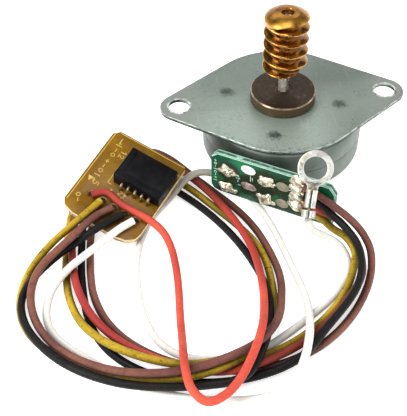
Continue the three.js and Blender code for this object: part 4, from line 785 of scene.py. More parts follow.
def pcb_amber_material():
    m = Mat("solder_mask_amber", srgb(136, 98, 18), 0.32, 0.0, spec=0.25)
    t = m.noise(0.14, 4.0, 0.5)
    col = m.mix(m.step(t, 0.35, 0.65), srgb(116, 80, 8), srgb(142, 105, 10))
    # the warmer, browner half near the leads
    p = LB @ (Vector((1.5, -4.5, 0)) * MM)
    warm = m.near(tuple(p / MM), 3.0, 9.0)
    col = m.mix(m.math("MULTIPLY", warm, 0.4), col, srgb(112, 68, 8))
    # painted shade: darker at the bottom, between the leads
    q = LB @ (Vector((1.6, -7.4, 0)) * MM)
    col = m.mix(m.math("MULTIPLY", m.near(tuple(q / MM), 2.0, 6.0), 0.6), col, srgb(78, 54, 10))
    mott = m.noise(1.2, 6.0, 0.65, loc=1.0)
    col = m.mix(m.step(mott, 0.45, 0.7, 0.0, 0.35), col, srgb(92, 66, 10))
    m.set(color=col, rough=m.step(m.noise(0.9, 3.0), 0.3, 0.7, 0.24, 0.4))
    m.bump(m.noise(0.35, 3.0), 0.15, 0.08)
    m.bump(m.noise(2.2, 4.0), 0.12, 0.03)
    return m.m


def solder_material(name="solder_bright", lo=srgb(196, 190, 164), hi=srgb(234, 231, 212), rough=0.22, dirt=0.5, metal=0.75):
    m = Mat(name, hi, rough, metal)
    t = m.noise(0.8, 4.0, 0.6)
    col = m.mix(m.step(t, 0.35, 0.65), lo, hi)
    gr = m.step(m.noise(1.5, 5.0, 0.7, loc=4.0), 0.52, 0.68)
    col = m.mix(m.math("MULTIPLY", gr, dirt), col, srgb(88, 78, 48))
    # painted shade: solder darkened in its crevices
    col = m.mix(m.math("MULTIPLY", m.crevice_shade(0.8, 0.35, 0.95), 0.75), col, srgb(52, 44, 24))
    m.set(color=col, rough=m.step(m.noise(1.5, 4.0), 0.3, 0.7, rough - 0.06, rough + 0.18))
    m.bump(m.noise(1.1, 3.0, 0.5), 0.25, 0.08)
    return m.m


def paint_material(name, base, worn, amt=0.5):
    m = Mat(name, base, 0.6, 0.0)
    t = m.noise(3.0, 4.0, 0.7)
    m.set(color=m.mix(m.step(t, 0.45, 0.68, 0.0, amt), base, worn))
    m.bump(m.noise(4.0, 3.0), 0.2, 0.02)
    return m.m


def tin_material():
    m = Mat("tinned_terminal", srgb(214, 214, 208), 0.30, 0.75)
    t = m.noise(0.5, 4.0, 0.55)
    col = m.mix(m.step(t, 0.35, 0.65), srgb(190, 190, 184), srgb(228, 228, 222))
    pits = m.step(m.noise(2.8, 5.0, 0.72, loc=2.0), 0.54, 0.66)
    col = m.mix(m.math("MULTIPLY", pits, 0.5), col, srgb(108, 106, 96))
    warm = m.step(m.noise(0.45, 3.0, loc=6.0), 0.45, 0.62)
    col = m.mix(m.math("MULTIPLY", warm, 0.4), col, srgb(196, 190, 150))
    # painted shade: tin darkened in its crevices
    col = m.mix(m.math("MULTIPLY", m.crevice_shade(0.7, 0.4, 0.95), 0.8), col, srgb(54, 48, 32))
    m.set(color=col, rough=m.step(m.noise(1.7, 4.0), 0.3, 0.7, 0.26, 0.48))
    m.bump(m.noise(2.6, 5.0, 0.7), 0.35, 0.05)
    return m.m


def plastic_material(name, base, rough=0.45, fleck=None, spec=0.5):
    m = Mat(name, base, rough, 0.0, spec=spec)
    t = m.noise(0.35, 4.0, 0.55)
    col = m.mix(m.step(t, 0.35, 0.65), base, tuple(min(1, c * 1.5 + 0.004) for c in base))
    if fleck:
        f = m.step(m.noise(2.4, 5.0, 0.7, loc=5.0), 0.60, 0.70)
        col = m.mix(m.math("MULTIPLY", f, 0.35), col, fleck)
    m.set(color=col, rough=m.step(m.noise(1.2, 4.0), 0.3, 0.7, rough - 0.08, rough + 0.12))
    m.bump(m.noise(5.0, 4.0, 0.6), 0.18, 0.02)
    m.bump(m.noise(0.5, 2.0), 0.1, 0.05)
    return m.m


def winding_material():
    m = Mat("copper_winding", srgb(178, 92, 48), 0.3, 0.9)
    z = m.xyz()[2]
    w = m.n("ShaderNodeTexWave", wave_type="BANDS", bands_direction="Z")
    m.put(w.inputs["Vector"], m.co)
    w.inputs["Scale"].default_value = 2400
    w.inputs["Distortion"].default_value = 1.0
    m.set(color=m.mix(m.step(w.outputs["Fac"], 0.2, 0.8), srgb(110, 48, 24), srgb(200, 108, 58)))
    m.bump(w.outputs["Fac"], 0.5, 0.08)
    return m.m


M_FLANGE, M_SHEAR, M_EDGE = flange_material(), sheared_material(), edge_highlight_material()
M_CAN = can_material("can_plated", srgb(80, 92, 84), srgb(108, 118, 110), 0.5, 0.38)
M_COVER = can_material("cover_plated", srgb(96, 104, 98), srgb(130, 138, 131), 0.7, 0.34)
M_POLE = can_material("pole_steel_bare", srgb(96, 96, 94), srgb(132, 132, 130), 0.85, 0.4)
M_COLLAR_TOP = collar_material("collar_top", srgb(42, 28, 12), srgb(56, 40, 22), 0.44)
M_COLLAR_SIDE = collar_material("collar_side", srgb(66, 56, 38), srgb(84, 70, 50), 0.42)
M_RIM = rim_wear_and_highlight_material()
M_SHAFT = shaft_material()
M_SPRING = steel_material("spring_steel_strip", srgb(150, 150, 152), 0.25, False)
M_BRASS = brass_material()
M_GREEN = pcb_green_material()
M_GREEN_EDGE = pcb_edge_material("green_board_edge", srgb(158, 206, 182), srgb(20, 52, 40), TB_PERP - 1.2, TB_PERP, TB_OUT)
LB_N = Vector((0.0800, -0.2985, 0.9511))
LB_O = LB_N.dot(Vector((-33.307, -14.496, 7.030)))
M_AMBER = pcb_amber_material()
M_AMBER_EDGE = pcb_edge_material("amber_board_edge", srgb(232, 212, 160), srgb(84, 64, 30), LB_O - 1.3, LB_O - 0.9, tuple(LB_N))
M_SOLDER = solder_material()
M_SOLDER_DULL = solder_material("solder_dull", srgb(128, 126, 104), srgb(160, 156, 136), 0.4, 0.3, 0.3)
M_SOLDER_PINK = solder_material("solder_flux_film", srgb(128, 112, 108), srgb(182, 166, 164), 0.3, 0.5, 0.4)
M_PAD_WHITE = solder_material("solder_pad_clean", srgb(246, 248, 238), srgb(254, 255, 250), 0.3, 0.04, 0.0)
M_SILK_MINT = paint_material("silk_mint", srgb(196, 226, 208), srgb(70, 130, 104))
M_SILK_CREAM = paint_material("silk_cream", srgb(202, 170, 84), srgb(140, 104, 26), 0.5)
M_TIN = tin_material()
M_HEADER = plastic_material("header_nylon_black", srgb(6, 6, 8), 0.5, srgb(26, 26, 30), 0.10)
M_BOBBIN = plastic_material("bobbin_moulding", srgb(30, 30, 32), 0.5, srgb(70, 70, 70))
M_PIN = solder_material("pin_tinned", srgb(118, 104, 76), srgb(168, 156, 128), 0.32, 0.5, 0.8)
M_COIL = winding_material()
M_MAGNET = plastic_material("ferrite_ring", srgb(44, 44, 46), 0.55, srgb(90, 90, 92))
M_HUB = plastic_material("hub_moulding", srgb(206, 200, 182), 0.5)
M_WASHER = plastic_material("washer_sheet", srgb(220, 214, 198), 0.45)
M_HOLE = plastic_material("hole_shadow", srgb(14, 10, 6), 0.8)

ON_NODE = {
    "front_inner_pole": M_POLE, "rear_inner_pole": M_POLE, "front_bobbin": M_BOBBIN, "rear_bobbin": M_BOBBIN,
    "front_coil": M_COIL, "rear_coil": M_COIL, "rear_bearing": M_COLLAR_SIDE, "rotor_hub": M_HUB, "rotor_magnet": M_MAGNET,
    "front_thrust_washer": M_WASHER, "rear_thrust_washer": M_WASHER, "preload_washer": M_SPRING,
}
for node, mat_ in ON_NODE.items():
    for sl in NODES[node].material_slots:
        sl.material = mat_


def done(ob, body, nodes=()):
    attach(ob, body)
    if nodes:
        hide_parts(*nodes)
    return ob


def paint_faces(ob, mats, pick):
    """Gives each face one of several materials; pick(centre, normal) in metres returns an index."""
    me = ob.data
    me.materials.clear()
    for m in mats:
        me.materials.append(m)
    for p in me.polygons:
        p.material_index = pick(p.center, p.normal)


def subtract(ob, cutters, smooth=35):
    for c in cutters:
        md = ob.modifiers.new("cut", "BOOLEAN")
        md.operation = "DIFFERENCE"
        md.solver = "EXACT"
        md.object = c
    dg = bpy.context.evaluated_depsgraph_get()
    me = bpy.data.meshes.new_from_object(ob.evaluated_get(dg))
    ob.modifiers.clear()
    old = ob.data
    ob.data = me
    bpy.data.meshes.remove(old)
    for c in cutters:
        bpy.data.objects.remove(c)
    shade(ob, smooth)
    return ob


# ------------------------------------------------------------------ flange
FLANGE_TOP, FLANGE_T, FLANGE_R, EAR_X, EAR_R = 13.7, 0.8, 16.25, 21.0, 3.85


def flange_outline(n_ear=28, n_side=64):
    a = math.acos((FLANGE_R - EAR_R) / EAR_X)
    pts = []
    for cx, r, t0, t1, n in ((EAR_X, EAR_R, -a, a, n_ear), (0, FLANGE_R, a, math.pi - a, n_side),
                             (-EAR_X, EAR_R, math.pi - a, math.pi + a, n_ear), (0, FLANGE_R, math.pi + a, 2 * math.pi - a, n_side)):
        for i in range(n + 1):
            t = t0 + (t1 - t0) * i / n
            pts.append((cx + r * math.cos(t), r * math.sin(t)))
    return pts


flange = plate("flange_plate", flange_outline(), FLANGE_TOP - FLANGE_T, FLANGE_TOP,
               [circle(EAR_X, 0, 2.1, 64), circle(-EAR_X, 0, 2.1, 64), circle(0, 0, 5.02, 64)], bevel=0.14, res=3)
# the rounded top edges carry the painted edge highlight (M_EDGE)
paint_faces(flange, [M_FLANGE, M_EDGE, M_SHEAR], lambda c, n: 0 if abs(n.z) > 0.97 else (1 if n.z > 0.25 else 2))
done(flange, "stator", ["front_flange"])
for k, sx in enumerate((-1, 1)):
    rim = lathe(f"flange_ear_rim_{k + 1}", rounded([(2.10, 13.62), (2.10, 13.74), (2.42, 13.74), (2.52, 13.69), (2.52, 13.62)], 0.03, 3), 72, 40, True, [M_EDGE])
    rim.data.transform(Matrix.Translation((sx * EAR_X * MM, 0, 0)))
    done(rim, "stator", ())

# ------------------------------------------------------------------ can
def cup(name, profile, z0, z1, mat_):
    ob = lathe(name, profile, 144, 35, True, [mat_])
    cut = block(name + "_cut", -5.75, 5.75, z0, z1, 14.3 - TB_PERP, 18.0 - TB_PERP, 0.05, 1, TB)
    return subtract(ob, [cut])


CAN_R, CAN_BOTTOM, CAN_MID, CUP_TOP = 16.25, 2.78, 7.85, 12.85
rear_profile = rounded([(7.2, CAN_BOTTOM), (CAN_R, CAN_BOTTOM), (CAN_R, CAN_MID - 0.03), (CAN_R - 0.8, CAN_MID - 0.03), (CAN_R - 0.8, CAN_BOTTOM + 0.75), (7.2, CAN_BOTTOM + 0.75)],
                       [0.05, 1.15, 0.12, 0.0, 0.5, 0.0], 8)
front_profile = rounded([(7.2, CUP_TOP - 0.75), (CAN_R - 0.8, CUP_TOP - 0.75), (CAN_R - 0.8, CAN_MID + 0.05), (CAN_R, CAN_MID + 0.05), (CAN_R, CUP_TOP), (7.2, CUP_TOP)],
                        [0.0, 0.3, 0.0, 0.12, 0.75, 0.05], 6)
done(cup("can_rear", rear_profile, CAN_BOTTOM - 1, CAN_MID + 1, M_CAN), "stator", ["rear_cup"])
done(cup("can_front", front_profile, CAN_MID - 1, 9.35, M_CAN), "stator", ["front_cup"])
cover = lathe("rear_cover_boss", rounded([(0, 0), (8.2, 0), (9.0, 0.0), (9.0, 1.95), (11.6, 1.95), (11.6, 2.73), (8.3, 2.73), (8.3, 0.7), (0, 0.7)],
                                         [0, 0, 0.8, 0.35, 0.2, 0, 0.1, 0.1, 0], 6), 128, 35, True, [M_COVER])
done(cover, "stator", ["rear_cover"])

# ------------------------------------------------------------------ collar, shaft
TOP = FLANGE_TOP + 2.34
collar = lathe("front_collar", rounded([(1.06, 10.95), (4.9, 10.95), (4.9, 13.74), (6.54, 13.74), (6.54, TOP - 0.22), (6.32, TOP), (1.9, TOP), (1.72, TOP - 0.12), (1.45, TOP - 0.12), (1.35, TOP), (1.14, TOP), (1.06, TOP - 0.1)],
                                         [0, 0.1, 0.05, 0.12, 0.06, 0.06, 0.04, 0.03, 0.03, 0.03, 0.03, 0.02], 4), 160, 30, True)
paint_faces(collar, [M_COLLAR_TOP, M_COLLAR_SIDE, M_RIM],
            lambda c, n: 2 if (c.z > (TOP - 0.36) * MM and c.xy.length > 6.2 * MM and 0.12 < n.z < 0.97) else (0 if n.z > 0.6 else 1))
done(collar, "stator", ["front_bearing"])
shaft = lathe("shaft_rod", rounded([(0, 0.85), (1.0, 0.85), (1.0, 33.0), (0, 33.0)], [0, 0.15, 0.15, 0], 5), 64, 40, True, [M_SHAFT])
done(shaft, "rotor", ["shaft"])

# ------------------------------------------------------------------ worm
WORM_R, WORM_ROOT, WORM_Z0, WORM_Z1, WORM_TOP, PITCH, PHASE = 4.36, 3.15, 21.52, 33.45, 34.08, 2.54, 31.41


def worm_radius(a, z):
    crest = PHASE - PITCH * (a + math.pi / 2) / (2 * math.pi)
    u = (z - crest) / PITCH
    u = abs(u - round(u))
    # narrow rounded crest, wide rounded groove
    if u < 0.04:
        k = 1.0 - 0.05 * (u / 0.04) ** 2
    elif u < 0.40:
        t = (u - 0.04) / 0.36
        k = 0.95 * (0.5 + 0.5 * math.cos(math.pi * t ** 0.64))
    else:
        k = 0.0
    return WORM_ROOT + (WORM_R - WORM_ROOT) * k


CROWN_Z = 32.6


def crown_radius(z):
    if z <= CROWN_Z:
        return WORM_R
    k = (z - CROWN_Z) / (WORM_Z1 - CROWN_Z)
    return WORM_R - 0.27 * k - 0.66 * k * k


def crown_from(t):
    """Height above which the thread is filled up to the crown: it follows the last turn of the crest."""
    d = (t + math.pi / 2) % (2 * math.pi)
    follow = 32.75 - PITCH * d * 0.55 / (2 * math.pi)
    k = min(1.0, max(0.0, (d - 5.0) / (2 * math.pi - 5.0)))
    k = k * k * (3 - 2 * k)
    return follow + (32.75 - follow) * k


def make_worm():
    A, Z = 160, 190
    rows = []
    rows.append(lambda t: (1.06, WORM_Z0 + 0.25))
    rows.append(lambda t: (1.30, WORM_Z0))
    for i in range(Z + 1):
        z = WORM_Z0 + (WORM_Z1 - WORM_Z0) * i / Z
        low = max(0.0, 1.0 - (z - WORM_Z0) / 0.35)

        def row(t, z=z, low=low):
            up = min(1.0, max(0.0, (z - crown_from(t)) / 0.55))
            up = up * up * (3 - 2 * up)
            r = worm_radius(t, z)
            r = min(r + (WORM_R - r) * up, crown_radius(z))
            return (r - 0.22 * low * low, z)
        rows.append(row)
    for r, z in ((3.2, 33.575), (2.92, 33.70), (2.65, 33.81), (2.48, 33.875), (2.32, 33.92), (2.12, 33.955), (1.7, 34.03), (1.48, 34.07), (1.38, 34.08), (1.30, 34.06), (1.22, 33.98), (1.14, 33.75), (1.08, 33.5), (1.06, 33.3), (1.06, 32.4)):
        rows.append(lambda t, r=r, z=z: (r, z))
    verts, faces = [], []
    for row in rows:
        for j in range(A):
            t = 2 * math.pi * j / A
            r, z = row(t)
            verts.append((r * math.cos(t), r * math.sin(t), z))
    for i in range(len(rows) - 1):
        for j in range(A):
            k = (j + 1) % A
            faces.append((i * A + j, i * A + k, (i + 1) * A + k, (i + 1) * A + j))
    # bore wall closes the solid
    i = len(rows) - 1
    for j in range(A):
        k = (j + 1) % A
        faces.append((i * A + j, i * A + k, k, j))
    return obj_from("worm_thread", verts, faces, IDENT, 50, [M_BRASS])


done(make_worm(), "rotor", ["worm"])


# ------------------------------------------------------------------ solder
def blob(name, at, rx, ry, h, seed, matrix, mat_, amp=0.16, freq=1.0, lean=(0, 0), base=-0.03, rot=0.0, points=0.0):
    rings, seg = 14, 36
    verts, faces = [], []
    off = Vector((seed * 3.1, seed * 1.7, seed * 0.9))
    cr, sr = math.cos(rot), math.sin(rot)
    for i in range(rings + 1):
        th = (math.pi / 2) * i / rings
        for j in range(seg):
            ph = 2 * math.pi * j / seg
            d = Vector((math.sin(th) * math.cos(ph), math.sin(th) * math.sin(ph), math.cos(th)))
            k = 1 + amp * mnoise.noise(d * freq * 1.6 + off) + amp * 0.25 * mnoise.noise(d * freq * 3 + off)
            k += points * math.sin(th) ** 2 * abs(math.cos(2 * (ph + seed))) ** 3
            flare = 1 + 0.22 * (i / rings) ** 4
            x, y, z = rx * d.x * k * flare, ry * d.y * k * flare, h * (d.z ** 1.25) * k
            x, y = x + lean[0] * z, y + lean[1] * z
            x, y = x * cr - y * sr, x * sr + y * cr
            verts.append((at[0] + x, at[1] + y, base + z))
    for i in range(rings):
        for j in range(seg):
            k = (j + 1) % seg
            faces.append((i * seg + j, i * seg + k, (i + 1) * seg + k, (i + 1) * seg + j))
    return obj_from(name, verts, faces, matrix, 60, [mat_])


# ------------------------------------------------------------------ terminal board
def tb_outline():
    raw = [(-5.4, 1.64), (17.8, 1.64), (18.3, 2.14), (18.3, 9.98), (17.0, 11.68), (-6.1, 11.68), (-7.3, 10.38), (-7.3, 3.04), (-6.7, 2.04)]
    return rounded(raw, [0.9, 0.4, 0.4, 0.7, 0.5, 0.2, 0.3, 0.8, 0.6], 4)


board = plate("terminal_board_laminate", tb_outline(), -1.2, 0.0, [], bevel=0.06, matrix=TB, res=1)
OUTV = Vector(TB_OUT)
paint_faces(board, [M_GREEN, M_GREEN_EDGE], lambda c, n: 0 if abs(n.dot(OUTV)) > 0.6 else 1)
done(board, "stator", ["terminal_board"])

PINS = ((-4.1, 7.95), (4.1, 7.95), (-4.1, 3.3), (4.1, 3.3))
for k, (s, z) in enumerate(PINS):
    pin = lathe(f"terminal_post_{k + 1}", rounded([(0, 15.45 - TB_PERP), (0.3, 15.45 - TB_PERP), (0.3, 0.85), (0, 0.85)], [0, 0.05, 0.16, 0], 4), 24, 40, True, [M_PIN],
                TB @ Matrix.Translation((s * MM, z * MM, 0)))
    done(pin, "stator", [f"terminal_pin_{k + 1}"])
parts = []
for k, (s, z, rx, ry, seed, mt) in enumerate(((-4.1, 7.8, 1.15, 0.95, 1.3, M_SOLDER), (4.05, 8.1, 1.2, 1.0, 2.4, M_SOLDER), (-3.95, 3.25, 1.15, 0.95, 3.7, M_SOLDER), (4.2, 3.35, 1.2, 1.05, 5.1, M_SOLDER))):
    parts.append(blob(f"sj{k}", (s, z), rx, ry, 0.75, seed, TB, mt, 0.30, 0.8, points=0.38))
    parts.append(blob(f"sk{k}", (s + 1.55, z - 0.45), 0.62, 0.40, 0.30, seed + 7, TB, mt, 0.3, 0.9, rot=0.35, points=0.3))
done(join("terminal_solder_joints", parts), "stator", ())
parts = [
    blob("o1", (0.6, 9.65), 1.35, 0.95, 0.30, 11.0, TB, M_PAD_WHITE, 0.04, 0.8, rot=-0.1),
    blob("o2", (0.75, 5.35), 1.45, 0.85, 0.30, 12.0, TB, M_SOLDER_PINK, 0.16, 1.1, rot=-0.1),
    blob("o3", (7.75, 8.1), 1.2, 0.98, 0.30, 13.0, TB, M_SOLDER_DULL, 0.08, 0.9, rot=-0.1),
    blob("o4", (7.85, 3.65), 1.2, 0.95, 0.28, 14.0, TB, M_SOLDER_DULL, 0.10, 0.9, rot=-0.1),
]
done(join("terminal_solder_pads", parts), "stator", ())


def tube(name, pts, radii, mat_, seg=20, matrix=IDENT, groove=0.0, lobes=0):
    """A tube of changing radius along a polyline in mm, closed at both ends."""
    P = [Vector(p) for p in pts]
    verts, faces = [], []
    up = Vector((0.1, 0.3, 1.0))
    for i, p in enumerate(P):
        t = (P[min(i + 1, len(P) - 1)] - P[max(i - 1, 0)]).normalized()
        side = t.cross(up).normalized()
        nrm = side.cross(t)
        for j in range(seg):
            a = 2 * math.pi * j / seg
            r = radii[i] * (1 + groove * math.cos(lobes * a + 1.4 * i)) if lobes else radii[i]
            verts.append(tuple(p + side * (r * math.cos(a)) + nrm * (r * math.sin(a))))
    n = len(P)
    for i in range(n - 1):
        for j in range(seg):
            k = (j + 1) % seg
            faces.append((i * seg + j, i * seg + k, (i + 1) * seg + k, (i + 1) * seg + j))
    faces.append(tuple(range(seg))[::-1])
    faces.append(tuple((n - 1) * seg + j for j in range(seg)))
    return obj_from(name, verts, faces, matrix, 50, [mat_])


# soldered lead ends: a cone of solder from the pad up over the stripped strands
parts = []
for k, c in enumerate(("brown", "black", "orange", "yellow")):
    p0 = TB.inverted() @ (Vector(ROUTES[c][0]) * MM) / MM
    p1 = TB.inverted() @ (Vector(ROUTES[c][1]) * MM) / MM
    d = (p1 - p0).normalized()
    q = Vector((10.55, p0.y + 0.10, 0.28))
    mid = (q + p0) / 2
    pts = [q + (p0 - q) * (i / 7) for i in range(8)] + [p0 + d * 0.25]
    parts.append(tube(f"strand{k}", pts, [0.40] * len(pts), M_PIN, 18, TB, 0.14, 6))
    parts.append(blob(f"cone{k}", (10.75, p0.y + 0.05), 1.35, 1.05, 1.0, 20.0 + k * 2.3, TB, M_SOLDER, 0.18, 0.8, lean=(0.5, 0), points=0.15))
    parts.append(blob(f"conf{k}", (12.05, p0.y - 0.10), 0.60, 0.55, 0.6, 30.0 + k * 1.9, TB, M_SOLDER, 0.18, 0.8))
done(join("terminal_lead_solder", parts), "stator", ())


# ------------------------------------------------------------------ printed marks
def strokes(name, lines, width, matrix, mat_, lift=0.015):
    """Thin printed lines from 2-D polylines in mm."""
    verts, faces = [], []
    for ln in lines:
        for (x0, y0), (x1, y1) in zip(ln[:-1], ln[1:]):
            d = Vector((x1 - x0, y1 - y0))
            L = d.length
            if L < 1e-6:
                continue
            d /= L
            n = Vector((-d.y, d.x)) * (width / 2)
            e = d * (width * 0.35)
            b = len(verts)
            for px, py in ((x0 - e.x + n.x, y0 - e.y + n.y), (x0 - e.x - n.x, y0 - e.y - n.y), (x1 + e.x - n.x, y1 + e.y - n.y), (x1 + e.x + n.x, y1 + e.y + n.y)):
                verts.append((px, py, lift))
            for px, py in ((x0 - e.x + n.x, y0 - e.y + n.y), (x0 - e.x - n.x, y0 - e.y - n.y), (x1 + e.x - n.x, y1 + e.y - n.y), (x1 + e.x + n.x, y1 + e.y + n.y)):
                verts.append((px, py, -0.01))
            faces += [(b, b + 1, b + 2, b + 3), (b + 4, b + 7, b + 6, b + 5), (b, b + 4, b + 5, b + 1), (b + 1, b + 5, b + 6, b + 2), (b + 2, b + 6, b + 7, b + 3), (b + 3, b + 7, b + 4, b)]
    me = bpy.data.meshes.new(name)
    me.from_pydata([matrix @ (Vector(v) * MM) for v in verts], [], faces)
    me.materials.append(mat_)
    ob = bpy.data.objects.new(name, me)
    bpy.context.scene.collection.objects.link(ob)
    return ob


DIGIT = {
    "1": [[(0.2, 0.8), (0.5, 1.0), (0.5, 0.0)]],
    "2": [[(0.05, 0.8), (0.3, 1.0), (0.6, 0.85), (0.55, 0.6), (0.05, 0.0), (0.65, 0.0)]],
    "3": [[(0.05, 0.95), (0.6, 0.95), (0.3, 0.58), (0.62, 0.35), (0.4, 0.0), (0.05, 0.1)]],
    "4": [[(0.5, 0.0), (0.5, 1.0), (0.05, 0.35), (0.7, 0.35)]],
    "5": [[(0.6, 1.0), (0.12, 1.0), (0.08, 0.58), (0.45, 0.62), (0.62, 0.32), (0.4, 0.0), (0.05, 0.08)]],
    "+": [[(0.3, 0.2), (0.3, 0.8)], [(0.0, 0.5), (0.6, 0.5)]],
    "-": [[(0.05, 0.5), (0.6, 0.5)]],
    "o": [[(0.3, 0.15), (0.6, 0.35), (0.6, 0.7), (0.3, 0.9), (0.0, 0.7), (0.0, 0.35), (0.3, 0.15)]],
    "|": [[(0.3, 0.0), (0.3, 1.0)]],
}


def glyphs(text, at, size, ang, gap=0.95):
    out = []
    c, s = math.cos(ang), math.sin(ang)
    for i, ch in enumerate(text):
        for ln in DIGIT.get(ch, []):
            out.append([(at[0] + ((x + i * gap) * c - y * s) * size, at[1] + ((x + i * gap) * s + y * c) * size) for x, y in ln])
    return out


lines = []
lines += glyphs("+o-|o-+|", (-6.75, 9.9), 0.72, math.radians(-90), 1.05)
lines += glyphs("-o+|-o+|-", (9.0, 10.3), 0.75, math.radians(-90), 1.0)
lines += glyphs("+|-", (-1.9, 7.6), 0.7, math.radians(-90), 1.0)
lines += [[(1.1 + 0.0, 8.2), (1.1, 6.9)], [(1.5, 7.9), (1.5, 7.2)]]
lines += glyphs("+", (-1.6, 6.3), 0.8, 0.0) + glyphs("-", (-1.5, 4.6), 0.8, 0.0)
silk = strokes("terminal_board_print", lines, 0.13, TB, M_SILK_MINT)
done(silk, "stator", ())
edge_lines = [[(-7.0, 10.55), (-5.95, 11.5), (16.9, 11.5), (18.05, 9.95)], [(18.1, 9.8), (18.1, 2.3)]]
done(strokes("terminal_board_rim_print", edge_lines, 0.2, TB, M_SILK_MINT), "stator", ())


# ------------------------------------------------------------------ ring terminal
def ring_terminal():
    cy, R, hr = 3.1, 3.3, 2.15
    ring = plate("rt_ring", circle(0, cy, R, 72), 0, 0.5, [circle(0, cy, hr, 64)], bevel=0.14, matrix=LUG, mats=[M_TIN], res=3)
    neck_pts = rounded([(-0.95, -1.35), (0.95, -1.35), (1.05, -0.3), (1.75, 0.75), (-1.75, 0.75), (-1.05, -0.3)], [0.1, 0.1, 0.5, 0.1, 0.1, 0.5], 4)
    neck = plate("rt_neck", neck_pts, 0.0, 0.5, [], bevel=0.12, matrix=LUG, mats=[M_TIN], res=2)

    def barrel(nm, ro, ri, y0, y1, depth, width, flare=0.06, twist=0.0):
        """A crimped barrel: two rolled ears meeting in a groove along the top."""
        seg, rows = 56, 14
        verts, faces = [], []
        for i in range(rows + 1):
            y = y0 + (y1 - y0) * i / rows
            e = abs(2 * i / rows - 1)
            k = 1 + flare * max(0.0, (e - 0.72) / 0.28)
            for j in range(seg):
                a = 2 * math.pi * j / seg - math.pi / 2
                da = (a - math.pi / 2 + math.pi) % (2 * math.pi) - math.pi
                r = ro * k * (1 - depth * math.exp(-(da / width) ** 2))
                x, z = r * math.cos(a), ro + r * math.sin(a)
                z = max(z, 0.02)
                verts.append((x * 1.03, y, z))
        for i in range(rows):
            for j in range(seg):
                k = (j + 1) % seg
                faces.append((i * seg + j, i * seg + k, (i + 1) * seg + k, (i + 1) * seg + j))
        # inner wall
        base = len(verts)
        for i in range(rows + 1):
            y = y0 + (y1 - y0) * i / rows
            for j in range(seg):
                a = 2 * math.pi * j / seg - math.pi / 2
                da = (a - math.pi / 2 + math.pi) % (2 * math.pi) - math.pi
                r = ri * (1 - depth * 0.8 * math.exp(-(da / width) ** 2))
                verts.append((r * math.cos(a), y, ro + r * math.sin(a)))
        for i in range(rows):
            for j in range(seg):
                k = (j + 1) % seg
                faces.append((base + i * seg + k, base + i * seg + j, base + (i + 1) * seg + j, base + (i + 1) * seg + k))
        for i, flip in ((0, False), (rows, True)):
            for j in range(seg):
                k = (j + 1) % seg
                f = (i * seg + k, i * seg + j, base + i * seg + j, base + i * seg + k)
                faces.append(f[::-1] if flip else f)
        return obj_from(nm, verts, faces, LUG, 45, [M_TIN])
    wire = barrel("rt_wire", 1.02, 0.5, -4.3, -1.0, 0.50, 0.24)
    ins = barrel("rt_ins", 1.25, 0.78, -6.15, -4.75, 0.36, 0.22, 0.03)
    bridge = plate("rt_bridge", [(-0.6, -4.95), (0.6, -4.95), (0.6, -4.1), (-0.6, -4.1)], 0.0, 0.42, [], bevel=0.08, matrix=LUG, mats=[M_TIN], res=1)
    # stripped strands seen between the crimps and past the wire barrel
    core = tube("rt_core", [(0, -4.9, 0.95), (0, -4.4, 0.92), (0, -0.9, 0.90), (0, -0.45, 0.86)], [0.5, 0.48, 0.46, 0.36], M_PIN, 24, LUG, 0.12, 7)
    return join("ring_terminal_stamping", [ring, neck, wire, ins, bridge, core])


RING = done(ring_terminal(), "stator", ["ring_terminal"])

# ------------------------------------------------------------------ lead board
lb_raw = [(-8.05, 8.9), (-8.05, -8.3), (-7.3, -9.4), (-5.2, -10.1), (4.6, -10.1), (6.6, -9.7), (8.0, -8.6), (8.35, -7.2), (8.35, 9.6), (7.85, 10.1), (-6.85, 10.1)]
LEAD_HOLES = [(-4.1, -4.9), (-1.5, -4.95), (1.05, -5.0), (3.6, -5.05), (6.1, -5.1)]
LEADS_BY_HOLE = ["orange", "yellow", "brown", "black", "white"]
lboard = plate("lead_board_laminate", rounded(lb_raw, [0.2, 0.5, 0.5, 0.8, 0.8, 0.6, 0.6, 0.4, 0.2, 0.2, 0.2], 4), -1.6, 0.0,
               [circle(x - 0.12, y + 0.05, 0.8, 28) for x, y in LEAD_HOLES], bevel=0.1, matrix=LB, res=2)
paint_faces(lboard, [M_AMBER, M_AMBER_EDGE], lambda c, n: 0 if abs(n.dot(LB_N)) > 0.55 else 1)
done(lboard, "stator", ["lead_board"])
parts = []
for k, (x, y) in enumerate(LEAD_HOLES):
    parts.append(blob(f"lbs{k}", (x, -y), 0.95, 0.95, 0.85, 40 + k * 1.7, LB @ Matrix.Rotation(math.pi, 4, "X") @ Matrix.Translation((0, 0, 1.6 * MM)), M_SOLDER, 0.12, 0.9))
for k, x in enumerate((0.1, 1.6, 3.1, 4.6, 6.1)):
    parts.append(blob(f"lbp{k}", (x, 1.25), 0.62, 0.7, 0.7, 60 + k * 1.3, LB @ Matrix.Rotation(math.pi, 4, "X") @ Matrix.Translation((0, 0, 1.6 * MM)), M_SOLDER, 0.12, 0.9))
under = done(join("lead_board_solder", parts), "stator", ())

